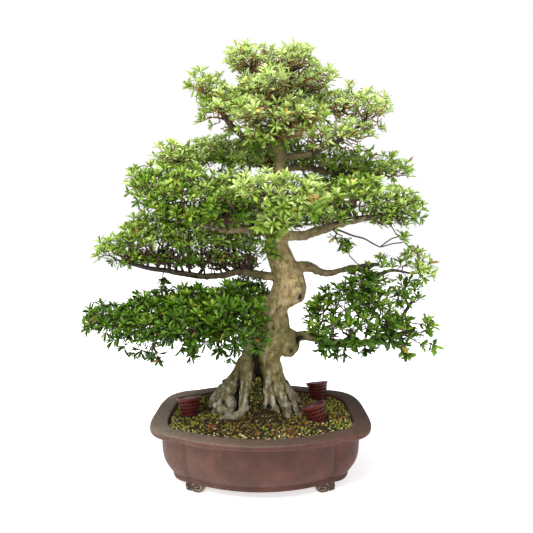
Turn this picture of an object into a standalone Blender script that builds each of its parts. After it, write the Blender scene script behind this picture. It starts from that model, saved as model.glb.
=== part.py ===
"""A satsuki azalea bonsai in an informal upright style, with its pot.

One tree with a flared root base stands in a lobed brown stoneware pot on four
scroll feet. Its branches carry separate pads of foliage, each a spray of leaf
whorls on a small dense core. Four lidded net baskets of fertiliser stand on
the soil, and a mesh plate lies over each of the pot's two drain holes.

Units are metres, +Z is up and the tree's front faces -Y. The stand point, at
the origin, is the middle of the whole tree's floor plan.
"""

import math
import random

import bmesh
import bpy
from mathutils import Matrix, Vector
from mathutils.bvhtree import BVHTree

# Clearance between separate pieces
GAP = 0.00035
# Neighbouring faces within this angle are one flat face
FLAT_ANGLE = math.radians(0.4)
# The pot stands a little to the left of the middle of the crown
POT_X = -0.0125

# Pot outline: two long lobes are arcs, two short lobes are superellipses
LONG_LOBE_RADIUS = 0.308
LONG_LOBE_CENTRE = 0.143
SHORT_LOBE_CENTRE = 0.100
SHORT_LOBE_LENGTH = 0.113
SHORT_LOBE_DEPTH = 0.1282
SHORT_LOBE_POWER = 3.5
# Inner rings draw in less at the short lobes' long sides, and meet before here
SHORT_LOBE_DRAW = 0.90
CORNER_LIMIT = 0.60
LONG_LOBE_STEPS = 6
SHORT_LOBE_STEPS = 8

# Pot wall from the underside, up the outside, over the lip and down inside:
# how far each ring lies in from the lip's edge, and its height
POT_BASE = 0.016
POT_FLOOR = 0.027
POT_WALL = [
    (0.043, POT_BASE),
    (0.042, 0.026),
    (0.035, 0.036),
    (0.0275, 0.050),
    (0.0235, 0.070),
    (0.0225, 0.098),
    (0.018, 0.104),
    (0.002, 0.107),
    (0.000, 0.109),
    (0.000, 0.115),
    (0.003, 0.117),
    (0.030, 0.1165),
    (0.033, 0.112),
    (0.046, 0.033),
    (0.056, POT_FLOOR),
]

# Scroll feet wrap the four corners where the lobes meet
FOOT_TOP = 0.020
FOOT_OUTER = 0.041
FOOT_INNER = 0.060
FOOT_SCROLL = 0.0035
FOOT_SCROLLS = 3
FOOT_STEPS = 12
FOOT_LONG_SPAN = 0.135
FOOT_SHORT_SPAN = 0.06

DRAIN_X = 0.085
DRAIN_RADIUS = 0.0125
DRAIN_PLATE = (0.040, 0.040, 0.0016)

# Soil fills the pot and mounds up a little towards the trunk
SOIL_RINGS = [(0.056, POT_FLOOR), (0.046, 0.033), (0.0335, 0.109)]
SOIL_EDGE = 0.109
SOIL_RISE = 0.011
SOIL_BACK_RISE = 0.003
SOIL_RISE_LENGTH = 0.020
SOIL_MOUND = [0.84, 0.45]
SOIL_ROUGHNESS = 0.0012

# Fertiliser basket: cup from its peg's point up the outside and down inside
CUP_SIDES = 10
CUP_PEG = -0.014
CUP_PROFILE = [
    (0.0035, 0.0),
    (0.0165, 0.0),
    (0.0215, 0.0275),
    (0.0236, 0.0285),
    (0.0245, 0.0340),
    (0.0233, 0.0340),
    (0.0230, 0.0300),
    (0.0204, 0.0300),
    (0.0154, 0.0014),
]
CUP_FLOOR = 0.0014
CUP_SINK = 0.003
LID_RADIUS = 0.0224
LID_HEIGHTS = (0.03035, 0.0320)
FILL_RADII = (0.0150, 0.0195)
FILL_HEIGHTS = (0.00175, 0.0272)
# Where each basket stands in the pot, and how far it leans to the side and back
BASKETS = {
    "front_left": (-0.142, -0.020, 3.0, 0.0),
    "front_right": (0.111, -0.048, -13.0, -8.0),
    "back_right": (0.124, 0.070, 2.0, 0.0),
    "back_left": (-0.062, 0.088, -3.0, 2.0),
}

# Trunk rings from the soil to the tip: x, y, z, half-width, half-depth
TRUNK_SIDES = 9
TRUNK = [
    (-0.008, 0.002, 0.100, 0.0380, 0.0340),
    (-0.008, 0.003, 0.132, 0.0370, 0.0330),
    (-0.008, 0.003, 0.160, 0.0330, 0.0300),
    (-0.006, 0.002, 0.189, 0.0320, 0.0300),
    (0.002, 0.000, 0.233, 0.0380, 0.0340),
    (0.019, 0.000, 0.271, 0.0400, 0.0370),
    (0.024, 0.000, 0.300, 0.0340, 0.0340),
    (0.027, 0.000, 0.318, 0.0300, 0.0310),
    (0.041, 0.000, 0.336, 0.0320, 0.0320),
    (0.054, 0.000, 0.359, 0.0360, 0.0340),
    (0.056, 0.000, 0.387, 0.0320, 0.0320),
    (0.045, 0.000, 0.416, 0.0280, 0.0280),
    (0.034, 0.000, 0.447, 0.0245, 0.0240),
    (0.032, 0.000, 0.471, 0.0210, 0.0200),
    (0.033, 0.000, 0.499, 0.0175, 0.0170),
    (0.037, 0.000, 0.544, 0.0130, 0.0130),
    (0.038, 0.000, 0.587, 0.0105, 0.0105),
    (0.038, 0.000, 0.628, 0.0095, 0.0095),
    (0.037, 0.000, 0.652, 0.0085, 0.0085),
    (0.043, 0.001, 0.675, 0.0065, 0.0065),
]
# The flutes of the trunk fade out with height
FLUTES = 5
FLUTE_DEPTH = 0.09
FLUTE_TOP = 0.50
BURL_CENTRE = (0.057, -0.004, 0.262)
BURL_SIZE = (0.024, 0.022, 0.026)

# Roots and branches: x, y, z and radius from the trunk outwards
ROOT_SIDES = 5
ROOTS = {
    "left_leg": [
        (-0.006, 0.000, 0.251, 0.0300),
        (-0.020, -0.012, 0.222, 0.0240),
        (-0.027, -0.020, 0.188, 0.0150),
        (-0.030, -0.027, 0.156, 0.0100),
        (-0.031, -0.034, 0.135, 0.0090),
        (-0.040, -0.046, 0.123, 0.0080),
        (-0.055, -0.055, 0.121, 0.0065),
        (-0.073, -0.062, 0.119, 0.0050),
        (-0.090, -0.068, 0.110, 0.0040),
    ],
    "left_arch": [
        (-0.030, -0.002, 0.215, 0.0180),
        (-0.042, -0.006, 0.196, 0.0150),
        (-0.062, -0.012, 0.173, 0.0115),
        (-0.082, -0.018, 0.151, 0.0090),
        (-0.093, -0.020, 0.133, 0.0070),
        (-0.098, -0.022, 0.108, 0.0050),
    ],
    "left_loop": [
        (-0.078, -0.018, 0.153, 0.0060),
        (-0.060, -0.027, 0.147, 0.0050),
        (-0.055, -0.033, 0.133, 0.0045),
        (-0.060, -0.037, 0.113, 0.0042),
    ],
    "left_strand": [
        (-0.089, -0.020, 0.140, 0.0060),
        (-0.074, -0.028, 0.131, 0.0048),
        (-0.060, -0.035, 0.124, 0.0044),
        (-0.046, -0.040, 0.108, 0.0042),
    ],
    "left_back": [
        (-0.031, 0.006, 0.213, 0.0160),
        (-0.052, 0.012, 0.188, 0.0120),
        (-0.077, 0.016, 0.166, 0.0085),
        (-0.100, 0.018, 0.142, 0.0060),
        (-0.120, 0.016, 0.108, 0.0042),
    ],
    "right_leg": [
        (0.020, 0.000, 0.251, 0.0300),
        (0.022, -0.008, 0.217, 0.0230),
        (0.022, -0.018, 0.183, 0.0160),
        (0.018, -0.030, 0.156, 0.0110),
        (0.014, -0.040, 0.134, 0.0080),
        (0.010, -0.050, 0.108, 0.0055),
    ],
    "right_front": [
        (0.026, -0.006, 0.216, 0.0200),
        (0.032, -0.014, 0.182, 0.0130),
        (0.040, -0.024, 0.153, 0.0095),
        (0.050, -0.033, 0.131, 0.0075),
        (0.056, -0.041, 0.106, 0.0055),
    ],
    "right_side": [
        (0.029, 0.000, 0.222, 0.0200),
        (0.045, -0.002, 0.186, 0.0120),
        (0.059, -0.006, 0.157, 0.0080),
        (0.072, -0.014, 0.136, 0.0065),
        (0.084, -0.026, 0.106, 0.0048),
    ],
    "right_back": [
        (0.027, 0.010, 0.212, 0.0170),
        (0.045, 0.018, 0.180, 0.0095),
        (0.066, 0.025, 0.154, 0.0068),
        (0.092, 0.030, 0.131, 0.0050),
        (0.110, 0.030, 0.108, 0.0040),
    ],
    "back_left": [
        (-0.002, 0.012, 0.211, 0.0200),
        (-0.009, 0.030, 0.173, 0.0130),
        (-0.020, 0.050, 0.144, 0.0090),
        (-0.024, 0.072, 0.124, 0.0065),
        (-0.022, 0.090, 0.106, 0.0048),
    ],
    "back_middle": [
        (0.012, 0.014, 0.211, 0.0200),
        (0.017, 0.038, 0.166, 0.0130),
        (0.020, 0.060, 0.139, 0.0085),
        (0.024, 0.084, 0.115, 0.0060),
        (0.026, 0.100, 0.100, 0.0048),
    ],
    "back_right": [
        (0.023, 0.012, 0.211, 0.0180),
        (0.040, 0.032, 0.168, 0.0120),
        (0.057, 0.050, 0.144, 0.0080),
        (0.074, 0.064, 0.121, 0.0058),
        (0.088, 0.074, 0.104, 0.0048),
    ],
}

BRANCH_SIDES = 5
BRANCHES = {
    "left_low": [
        (0.004, -0.012, 0.268, 0.0170),
        (-0.017, -0.028, 0.279, 0.0150),
        (-0.040, -0.044, 0.292, 0.0130),
        (-0.087, -0.060, 0.307, 0.0115),
        (-0.153, -0.066, 0.310, 0.0095),
        (-0.211, -0.062, 0.307, 0.0075),
        (-0.266, -0.056, 0.314, 0.0055),
    ],
    "left_second": [
        (0.047, 0.000, 0.383, 0.0120),
        (0.022, -0.001, 0.388, 0.0090),
        (-0.012, -0.005, 0.394, 0.0085),
        (-0.046, -0.010, 0.400, 0.0075),
        (-0.078, -0.012, 0.392, 0.0065),
        (-0.126, -0.015, 0.391, 0.0060),
        (-0.182, -0.018, 0.401, 0.0050),
        (-0.227, -0.020, 0.407, 0.0042),
    ],
    "left_third": [
        (0.033, 0.000, 0.475, 0.0120),
        (0.002, -0.014, 0.481, 0.0100),
        (-0.031, -0.030, 0.485, 0.0085),
        (-0.075, -0.046, 0.485, 0.0075),
        (-0.130, -0.056, 0.498, 0.0060),
        (-0.180, -0.060, 0.524, 0.0045),
    ],
    "left_upper": [
        (0.037, 0.000, 0.605, 0.0070),
        (0.006, 0.026, 0.619, 0.0065),
        (-0.050, 0.052, 0.632, 0.0055),
        (-0.116, 0.060, 0.636, 0.0045),
    ],
    "front_middle": [
        (0.032, -0.006, 0.507, 0.0110),
        (0.026, -0.036, 0.520, 0.0090),
        (0.014, -0.074, 0.531, 0.0075),
    ],
    "right_low": [
        (0.047, 0.000, 0.257, 0.0140),
        (0.071, -0.002, 0.266, 0.0110),
        (0.095, -0.006, 0.269, 0.0095),
        (0.123, -0.012, 0.262, 0.0090),
        (0.168, -0.020, 0.256, 0.0080),
        (0.220, -0.025, 0.261, 0.0065),
        (0.267, -0.022, 0.274, 0.0050),
    ],
    "right_low_fork": [
        (0.233, -0.024, 0.261, 0.0050),
        (0.272, -0.018, 0.297, 0.0042),
        (0.304, -0.011, 0.338, 0.0036),
    ],
    "right_second": [
        (0.059, 0.000, 0.406, 0.0120),
        (0.084, 0.000, 0.407, 0.0090),
        (0.102, -0.002, 0.414, 0.0080),
        (0.118, -0.004, 0.404, 0.0075),
        (0.134, -0.005, 0.395, 0.0070),
        (0.162, -0.008, 0.402, 0.0065),
        (0.193, -0.012, 0.408, 0.0065),
        (0.230, -0.016, 0.393, 0.0050),
        (0.260, -0.018, 0.402, 0.0045),
        (0.301, -0.022, 0.397, 0.0040),
        (0.328, -0.022, 0.408, 0.0034),
    ],
    "right_second_stub": [
        (0.193, -0.012, 0.408, 0.0050),
        (0.215, -0.013, 0.413, 0.0042),
        (0.235, -0.014, 0.414, 0.0036),
    ],
    "right_third": [
        (0.037, 0.000, 0.467, 0.0140),
        (0.063, 0.004, 0.464, 0.0125),
        (0.088, 0.005, 0.465, 0.0115),
        (0.112, 0.000, 0.477, 0.0105),
        (0.145, -0.010, 0.491, 0.0090),
        (0.178, -0.018, 0.501, 0.0075),
        (0.224, -0.025, 0.509, 0.0055),
    ],
    "right_upper": [
        (0.037, 0.000, 0.601, 0.0080),
        (0.060, 0.014, 0.611, 0.0070),
        (0.098, 0.030, 0.614, 0.0060),
        (0.158, 0.036, 0.604, 0.0050),
        (0.212, 0.032, 0.597, 0.0042),
    ],
    "crown_left": [
        (0.037, 0.000, 0.644, 0.0080),
        (0.010, -0.003, 0.654, 0.0075),
        (-0.024, -0.008, 0.662, 0.0070),
        (-0.044, -0.010, 0.679, 0.0065),
        (-0.066, -0.012, 0.700, 0.0055),
        (-0.090, -0.013, 0.736, 0.0045),
    ],
    "crown_leader": [
        (0.041, 0.000, 0.662, 0.0080),
        (0.049, 0.002, 0.687, 0.0070),
        (0.057, 0.000, 0.715, 0.0060),
        (0.061, -0.003, 0.747, 0.0050),
        (0.060, -0.004, 0.775, 0.0040),
    ],
    "crown_tip": [
        (0.055, 0.000, 0.703, 0.0060),
        (0.026, -0.006, 0.730, 0.0052),
        (-0.004, -0.008, 0.770, 0.0045),
    ],
    "crown_right": [
        (0.039, 0.000, 0.632, 0.0075),
        (0.071, -0.004, 0.633, 0.0065),
        (0.103, -0.008, 0.639, 0.0060),
        (0.139, -0.012, 0.654, 0.0050),
        (0.179, -0.014, 0.676, 0.0044),
    ],
    "crown_right_inner": [
        (0.057, 0.000, 0.691, 0.0055),
        (0.090, 0.004, 0.706, 0.0048),
        (0.129, 0.002, 0.720, 0.0042),
    ],
    "crown_front": [
        (0.041, -0.002, 0.654, 0.0065),
        (0.034, -0.022, 0.666, 0.0055),
        (0.020, -0.044, 0.684, 0.0045),
    ],
    "crown_back": [
        (0.041, 0.002, 0.646, 0.0070),
        (0.037, 0.026, 0.676, 0.0060),
        (0.029, 0.048, 0.712, 0.0050),
    ],
    "back_low": [
        (0.022, 0.006, 0.332, 0.0170),
        (0.010, 0.040, 0.333, 0.0130),
        (-0.010, 0.076, 0.332, 0.0110),
        (-0.038, 0.104, 0.322, 0.0085),
    ],
    "back_middle": [
        (0.033, 0.004, 0.455, 0.0150),
        (0.042, 0.040, 0.467, 0.0115),
        (0.050, 0.078, 0.488, 0.0090),
        (0.038, 0.108, 0.512, 0.0065),
    ],
    "back_right": [
        (0.035, 0.002, 0.528, 0.0090),
        (0.061, 0.032, 0.536, 0.0080),
        (0.110, 0.062, 0.547, 0.0065),
        (0.166, 0.086, 0.560, 0.0050),
    ],
    "back_upper": [
        (0.037, 0.002, 0.573, 0.0080),
        (0.031, 0.028, 0.597, 0.0070),
        (0.024, 0.060, 0.626, 0.0055),
    ],
}

# Foliage pads: the lobes of each spray as x, y, z, then their half sizes out
# to the leaf tips. The first lobe after a spray's name lies on its branch.
LOBES = {
    "left_low": [
        (-0.050, -0.080, 0.312, 0.060, 0.052, 0.068),
        (-0.132, -0.074, 0.310, 0.064, 0.058, 0.066),
        (-0.219, -0.058, 0.298, 0.060, 0.052, 0.058),
        (-0.291, -0.050, 0.308, 0.050, 0.040, 0.038),
        (-0.172, 0.004, 0.306, 0.080, 0.050, 0.054),
    ],
    "left_second": [
        (-0.048, 0.022, 0.442, 0.050, 0.044, 0.038),
        (-0.131, -0.006, 0.457, 0.065, 0.056, 0.051),
        (-0.217, -0.020, 0.463, 0.060, 0.052, 0.054),
        (-0.279, -0.025, 0.439, 0.042, 0.036, 0.036),
    ],
    "left_third": [
        (-0.059, -0.056, 0.540, 0.054, 0.046, 0.048),
        (-0.135, -0.058, 0.549, 0.065, 0.056, 0.052),
        (-0.212, -0.040, 0.561, 0.045, 0.044, 0.047),
    ],
    "left_upper": [
        (-0.024, 0.054, 0.639, 0.052, 0.046, 0.034),
        (-0.102, 0.058, 0.642, 0.061, 0.052, 0.039),
        (-0.178, 0.048, 0.631, 0.051, 0.042, 0.034),
    ],
    "front_middle": [
        (0.036, -0.076, 0.500, 0.041, 0.040, 0.028),
        (0.072, -0.096, 0.537, 0.051, 0.044, 0.042),
        (0.003, -0.112, 0.545, 0.048, 0.044, 0.038),
    ],
    "right_third": [
        (0.131, -0.034, 0.505, 0.040, 0.034, 0.028),
        (0.177, -0.046, 0.539, 0.062, 0.050, 0.046),
        (0.259, -0.030, 0.522, 0.055, 0.044, 0.041),
        (0.250, -0.012, 0.478, 0.046, 0.034, 0.026),
    ],
    "right_upper": [
        (0.111, 0.046, 0.618, 0.051, 0.046, 0.036),
        (0.184, 0.040, 0.613, 0.059, 0.050, 0.036),
        (0.261, 0.026, 0.604, 0.054, 0.042, 0.031),
    ],
    "right_second": [
        (0.270, -0.020, 0.417, 0.036, 0.028, 0.030),
        (0.326, -0.022, 0.411, 0.042, 0.032, 0.032),
        (0.216, -0.022, 0.378, 0.034, 0.026, 0.024),
    ],
    "right_low": [
        (0.149, -0.024, 0.300, 0.052, 0.046, 0.070),
        (0.212, -0.034, 0.302, 0.054, 0.050, 0.066),
        (0.273, -0.022, 0.272, 0.042, 0.036, 0.042),
        (0.300, -0.010, 0.334, 0.044, 0.036, 0.042),
        (0.326, -0.020, 0.285, 0.036, 0.028, 0.034),
    ],
    "crown_left": [
        (-0.076, -0.018, 0.719, 0.046, 0.042, 0.048),
        (-0.113, -0.010, 0.761, 0.040, 0.038, 0.040),
    ],
    "crown_top": [
        (0.018, -0.032, 0.754, 0.059, 0.044, 0.043),
        (-0.020, -0.005, 0.815, 0.051, 0.046, 0.049),
        (0.062, 0.000, 0.812, 0.057, 0.050, 0.047),
        (0.112, 0.004, 0.782, 0.044, 0.042, 0.038),
    ],
    "crown_front": [
        (-0.001, -0.048, 0.691, 0.060, 0.044, 0.044),
        (0.078, -0.042, 0.695, 0.053, 0.044, 0.045),
    ],
    "crown_right": [
        (0.117, -0.028, 0.665, 0.042, 0.036, 0.034),
        (0.181, -0.024, 0.663, 0.050, 0.040, 0.036),
        (0.161, -0.002, 0.727, 0.051, 0.044, 0.047),
        (0.215, -0.014, 0.714, 0.046, 0.040, 0.042),
    ],
    "crown_back": [
        (0.075, 0.056, 0.746, 0.069, 0.050, 0.060),
        (-0.020, 0.060, 0.748, 0.065, 0.048, 0.056),
    ],
    "back_low": [
        (-0.035, 0.104, 0.322, 0.064, 0.048, 0.048),
        (-0.093, 0.118, 0.296, 0.061, 0.040, 0.045),
    ],
    "back_middle": [
        (-0.004, 0.118, 0.530, 0.078, 0.046, 0.055),
        (0.088, 0.112, 0.500, 0.054, 0.044, 0.042),
        (-0.082, 0.104, 0.516, 0.056, 0.042, 0.043),
    ],
    "back_right": [
        (0.128, 0.090, 0.562, 0.057, 0.040, 0.044),
        (0.199, 0.102, 0.578, 0.067, 0.046, 0.045),
    ],
    "back_upper": [
        (0.023, 0.108, 0.660, 0.076, 0.050, 0.049),
    ],
}
# Branches that carry a spray when they aren't the one of its own name
CARRIERS = {
    "right_low": ("right_low", "right_low_fork"),
    "crown_top": ("crown_leader", "crown_tip"),
    "crown_front": ("crown_front", "crown_leader"),
    "crown_right": ("crown_right", "crown_right_inner"),
}

# The furthest tips from here get their leaves first
TREE_MIDDLE = Vector((0.035, 0.0, 0.450))
# Low ball of unit radius for the cores of the pads: rings and their heights
BALL_SIDES = 7
BALL_PROFILE = [(0.80, -0.66), (1.06, -0.02), (0.74, 0.70)]

# How far the leaves stand out of a spray's core, and the core's least share
LEAF_REACH = 0.021
CORE_SHARE = 0.55
CORE_SWELL = 1.06
CORE_NOISE = 0.08
CORE_FLAT = 0.85
CORE_SPACE = 0.006
CORE_DETAIL = 0.36
LINK_SHARE = 0.62
LINK_DEPTH = 0.022
TWIG_SIDES = 3
TWIG_RADII = (0.0034, 0.0024)
TWIG_NEED = 1.50

# Leaf whorls at the twig tips
WHORL_LEAVES = 5
WHORL_SPACING = 0.049
WHORL_STAND = 0.003
WHORL_ROOT = 0.009
WHORL_HUB = 0.0021
WHORL_CROWN = 0.0028
LEAF_LENGTH = 0.027
LEAF_HALF_WIDTH = 0.0047
LEAF_WIDEST = 0.56
LEAF_LIFT = (24.0, 46.0)
UNDERSIDE = -0.65
CANDIDATES = 70
TRIES = 3
SEED = 41


def clear_scene():
    """Remove every object that the file opens with."""
    for item in list(bpy.data.objects):
        bpy.data.objects.remove(item, do_unlink=True)


def make_material(name, colour, roughness, metallic=0.0):
    """Return a Principled material in one plain colour."""
    material = bpy.data.materials.new(name)
    material.use_nodes = True
    shader = material.node_tree.nodes["Principled BSDF"]
    shader.inputs["Base Color"].default_value = (*colour, 1.0)
    shader.inputs["Roughness"].default_value = roughness
    shader.inputs["Metallic"].default_value = metallic
    return material


def make_object(name, form, material=None, parent=None):
    """Turn a bmesh into a linked object and free the bmesh."""
    mesh = bpy.data.meshes.new(name)
    form.to_mesh(mesh)
    form.free()
    item = bpy.data.objects.new(name, mesh)
    bpy.context.scene.collection.objects.link(item)
    if material:
        mesh.materials.append(material)
    item.parent = parent
    return item


def bridge(form, lower, upper):
    """Join two rings of vertices with a band of faces."""
    count = len(lower)
    for index in range(count):
        after = (index + 1) % count
        form.faces.new((lower[index], lower[after], upper[after], upper[index]))


def loft(rings):
    """Return a closed bmesh through rings of points, with flat ends."""
    form = bmesh.new()
    loops = [[form.verts.new(point) for point in ring] for ring in rings]
    for lower, upper in zip(loops, loops[1:]):
        bridge(form, lower, upper)
    form.faces.new(list(reversed(loops[0])))
    form.faces.new(loops[-1])
    return form


def turned(profile, sides, bottom=None, top=None):
    """Return a solid of revolution, closed by poles or by flat ends."""
    form = bmesh.new()
    loops = []
    for radius, height in profile:
        angles = [2 * math.pi * step / sides for step in range(sides)]
        ring = [(radius * math.cos(a), radius * math.sin(a), height) for a in angles]
        loops.append([form.verts.new(point) for point in ring])
    for lower, upper in zip(loops, loops[1:]):
        bridge(form, lower, upper)
    close_end(form, list(reversed(loops[0])), bottom)
    close_end(form, loops[-1], top)
    return form


def close_end(form, loop, height):
    """Close a loop with one flat face, or with a pole at a height."""
    if height is None:
        form.faces.new(loop)
        return
    pole = form.verts.new((0.0, 0.0, height))
    for index, corner in enumerate(loop):
        form.faces.new((corner, loop[(index + 1) % len(loop)], pole))


def smooth_path(points, steps=2):
    """Return Catmull-Rom points through the given rows of numbers."""
    rows = [points[0], *points, points[-1]]
    result = []
    for index in range(len(points) - 1):
        p0, p1, p2, p3 = [Vector(row) for row in rows[index:index + 4]]
        for step in range(steps):
            t = step / steps
            result.append(0.5 * (2 * p1 + (p2 - p0) * t
                                 + (2 * p0 - 5 * p1 + 4 * p2 - p3) * t * t
                                 + (3 * p1 - p0 - 3 * p2 + p3) * t * t * t))
    result.append(Vector(points[-1]))
    return result


def tube(points, sides, swell=0.0, steps=1):
    """Return a tapered closed tube through rows of x, y, z and radius."""
    rows = smooth_path(points, steps)
    centres = [row.to_3d() for row in rows]
    normal = Vector((0.31, 0.87, 0.38)).normalized()
    rings = []
    for index, centre in enumerate(centres):
        ahead = centres[min(index + 1, len(centres) - 1)]
        behind = centres[max(index - 1, 0)]
        along = (ahead - behind).normalized()
        normal = (normal - along * normal.dot(along)).normalized()
        across = along.cross(normal)
        radius = rows[index][3] + swell
        end = swell * (index == len(centres) - 1) - swell * (index == 0)
        ring = []
        for step in range(sides):
            angle = 2 * math.pi * step / sides
            spoke = normal * math.cos(angle) + across * math.sin(angle)
            ring.append(centre + along * end + spoke * radius)
        rings.append(ring)
    return loft(rings)


def combine(name, forms, material=None, parent=None, operation="UNION"):
    """Join bmeshes into one body, or cut the later ones out of the first."""
    for form in forms:
        bmesh.ops.triangulate(form, faces=form.faces[:])
    base = make_object(name, forms[0], material, parent)
    if len(forms) == 1:
        return base
    group = bpy.data.collections.new(name + " operands")
    others = [make_object(name + " operand", form, parent=parent) for form in forms[1:]]
    for other in others:
        group.objects.link(other)
    modifier = base.modifiers.new(operation, "BOOLEAN")
    modifier.operation = operation
    modifier.operand_type = "COLLECTION"
    modifier.collection = group
    modifier.solver = "EXACT"
    apply_modifiers(base)
    for other in others:
        bpy.data.objects.remove(other, do_unlink=True)
    bpy.data.collections.remove(group)
    return base


def apply_modifiers(item):
    """Give an object the mesh that its modifiers make."""
    view = bpy.context.evaluated_depsgraph_get()
    result = bpy.data.meshes.new_from_object(item.evaluated_get(view))
    old = item.data
    item.modifiers.clear()
    item.data = result
    bpy.data.meshes.remove(old)


def copy_form(item):
    """Return a bmesh copy of an object's mesh."""
    form = bmesh.new()
    form.from_mesh(item.data)
    return form


def islands(form):
    """Return the separate bodies of a bmesh as lists of faces."""
    waiting = set(form.faces)
    bodies = []
    while waiting:
        front = [waiting.pop()]
        body = []
        while front:
            face = front.pop()
            body.append(face)
            for edge in face.edges:
                for other in edge.link_faces:
                    if other in waiting:
                        waiting.remove(other)
                        front.append(other)
        bodies.append(body)
    return bodies


def keep_largest(item):
    """Drop loose scraps and leave an object's largest body in triangles."""
    form = copy_form(item)
    bodies = sorted(islands(form), key=lambda body: sum(face.calc_area() for face in body))
    scraps = [face for body in bodies[:-1] for face in body]
    bmesh.ops.delete(form, geom=scraps, context="FACES")
    bmesh.ops.dissolve_limit(form, angle_limit=FLAT_ANGLE, verts=form.verts[:], edges=form.edges[:])
    bmesh.ops.triangulate(form, faces=form.faces[:])
    form.to_mesh(item.data)
    form.free()


def short_lobe_size(inset):
    """Return the half length and half depth of a short lobe's ring."""
    return SHORT_LOBE_LENGTH - inset, SHORT_LOBE_DEPTH - SHORT_LOBE_DRAW * inset


def corner(inset):
    """Return the point where a long and a short lobe meet."""
    length, depth = short_lobe_size(inset)
    low, high = SHORT_LOBE_CENTRE, SHORT_LOBE_CENTRE + CORNER_LIMIT * length
    for _ in range(50):
        x = (low + high) / 2
        long_y = math.sqrt((LONG_LOBE_RADIUS - inset) ** 2 - x * x) - LONG_LOBE_CENTRE
        share = (x - SHORT_LOBE_CENTRE) / length
        short_y = depth * (1 - share ** SHORT_LOBE_POWER) ** (1 / SHORT_LOBE_POWER)
        if long_y > short_y:
            low = x
        else:
            high = x
    return x, short_y


def long_lobe(inset, share):
    """Return a point of the front lobe, from its left to its right corner."""
    radius = LONG_LOBE_RADIUS - inset
    reach = math.asin(corner(inset)[0] / radius)
    angle = reach * (2 * share - 1)
    return radius * math.sin(angle), LONG_LOBE_CENTRE - radius * math.cos(angle)


def short_lobe(inset, share):
    """Return a point of the right lobe, from its front to its back corner."""
    length, depth = short_lobe_size(inset)
    limit = math.asin((corner(inset)[1] / depth) ** (SHORT_LOBE_POWER / 2))
    angle = limit * (2 * share - 1)
    power = 2 / SHORT_LOBE_POWER
    x = SHORT_LOBE_CENTRE + length * math.cos(angle) ** power
    y = depth * math.copysign(abs(math.sin(angle)) ** power, angle)
    return x, y


def outline(inset, height):
    """Return the pot's lobed outline, anticlockwise from its front left corner."""
    half = [long_lobe(inset, step / LONG_LOBE_STEPS) for step in range(LONG_LOBE_STEPS)]
    half += [short_lobe(inset, step / SHORT_LOBE_STEPS) for step in range(SHORT_LOBE_STEPS)]
    points = half + [(-x, -y) for x, y in half]
    return [(x, y, height) for x, y in points]


def foot_form(flip_x, flip_y):
    """Return one scroll foot, which wraps a corner of the pot's base."""
    outer = []
    inner = []
    for step in range(FOOT_STEPS + 1):
        along = 2 * step / FOOT_STEPS - 1
        wave = FOOT_SCROLL * abs(math.sin(math.pi * FOOT_SCROLLS * step / FOOT_STEPS))
        if along < 0:
            place, share = long_lobe, 1 + FOOT_LONG_SPAN * along
        else:
            place, share = short_lobe, FOOT_SHORT_SPAN * along
        outer.append(place(FOOT_OUTER - wave, share))
        if step % (FOOT_STEPS // 4) == 0:
            inner.append(place(FOOT_INNER, share))
    ring = outer + list(reversed(inner))
    ring = [(x * flip_x, y * flip_y) for x, y in ring]
    if flip_x * flip_y < 0:
        ring.reverse()
    return loft([[(x, y, height) for x, y in ring] for height in (0.0, FOOT_TOP)])


def make_pot(material, parent):
    """Build the pot: lobed wall, flat lip, scroll feet and two drain holes."""
    wall = loft([outline(inset, height) for inset, height in POT_WALL])
    feet = [foot_form(flip_x, flip_y) for flip_x in (1, -1) for flip_y in (1, -1)]
    pot = combine("pot", [wall, *feet], material, parent)
    drains = []
    for side in (1, -1):
        profile = [(DRAIN_RADIUS, POT_BASE - 0.01), (DRAIN_RADIUS, POT_FLOOR + 0.01)]
        drain = turned(profile, 12)
        bmesh.ops.translate(drain, verts=drain.verts, vec=(side * DRAIN_X, 0.0, 0.0))
        drains.append(drain)
    body = copy_form(pot)
    bpy.data.objects.remove(pot, do_unlink=True)
    pot = combine("pot", [body, *drains], material, parent, "DIFFERENCE")
    keep_largest(pot)
    return pot


def plate_form(side, swell=0.0):
    """Return the mesh plate over one drain hole."""
    form = bmesh.new()
    bmesh.ops.create_cube(form, size=1.0)
    size = [length + 2 * swell for length in DRAIN_PLATE]
    bmesh.ops.scale(form, verts=form.verts, vec=size)
    height = POT_FLOOR + GAP + DRAIN_PLATE[2] / 2
    bmesh.ops.translate(form, verts=form.verts, vec=(side * DRAIN_X, 0.0, height))
    return form


def soil_height(x, y, depth_in):
    """Return the soil's height at a place that lies so far in from its edge."""
    rise = SOIL_RISE + SOIL_BACK_RISE * y / SHORT_LOBE_DEPTH
    bumps = math.sin(61 * x + 1.3) * math.sin(73 * y + 0.4) + 0.6 * math.sin(143 * x - 89 * y)
    return SOIL_EDGE + rise * (1 - math.exp(-depth_in / SOIL_RISE_LENGTH)) + SOIL_ROUGHNESS * bumps


def soil_form():
    """Return the soil before its holes for roots and baskets are cut."""
    rings = [outline(inset + GAP * 1.3, height + GAP * (inset > 0.05)) for inset, height in SOIL_RINGS]
    edge = rings[-1]
    for share in SOIL_MOUND:
        ring = []
        for x, y, _ in edge:
            depth_in = (1 - share) * math.hypot(x, y)
            ring.append((x * share, y * share, soil_height(x * share, y * share, depth_in)))
        rings.append(ring)
    return loft(rings)


def basket_frame(place):
    """Return the matrix that stands a basket in its place and leans it."""
    x, y, lean, back = place
    edge_gap = min(0.213 - abs(x), 0.150 - abs(y))
    height = soil_height(x, y, max(0.0, edge_gap - 0.034)) - CUP_SINK
    turn = Matrix.Rotation(math.radians(lean), 4, "Y") @ Matrix.Rotation(math.radians(back), 4, "X")
    return Matrix.Translation((x, y, height)) @ turn


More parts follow.
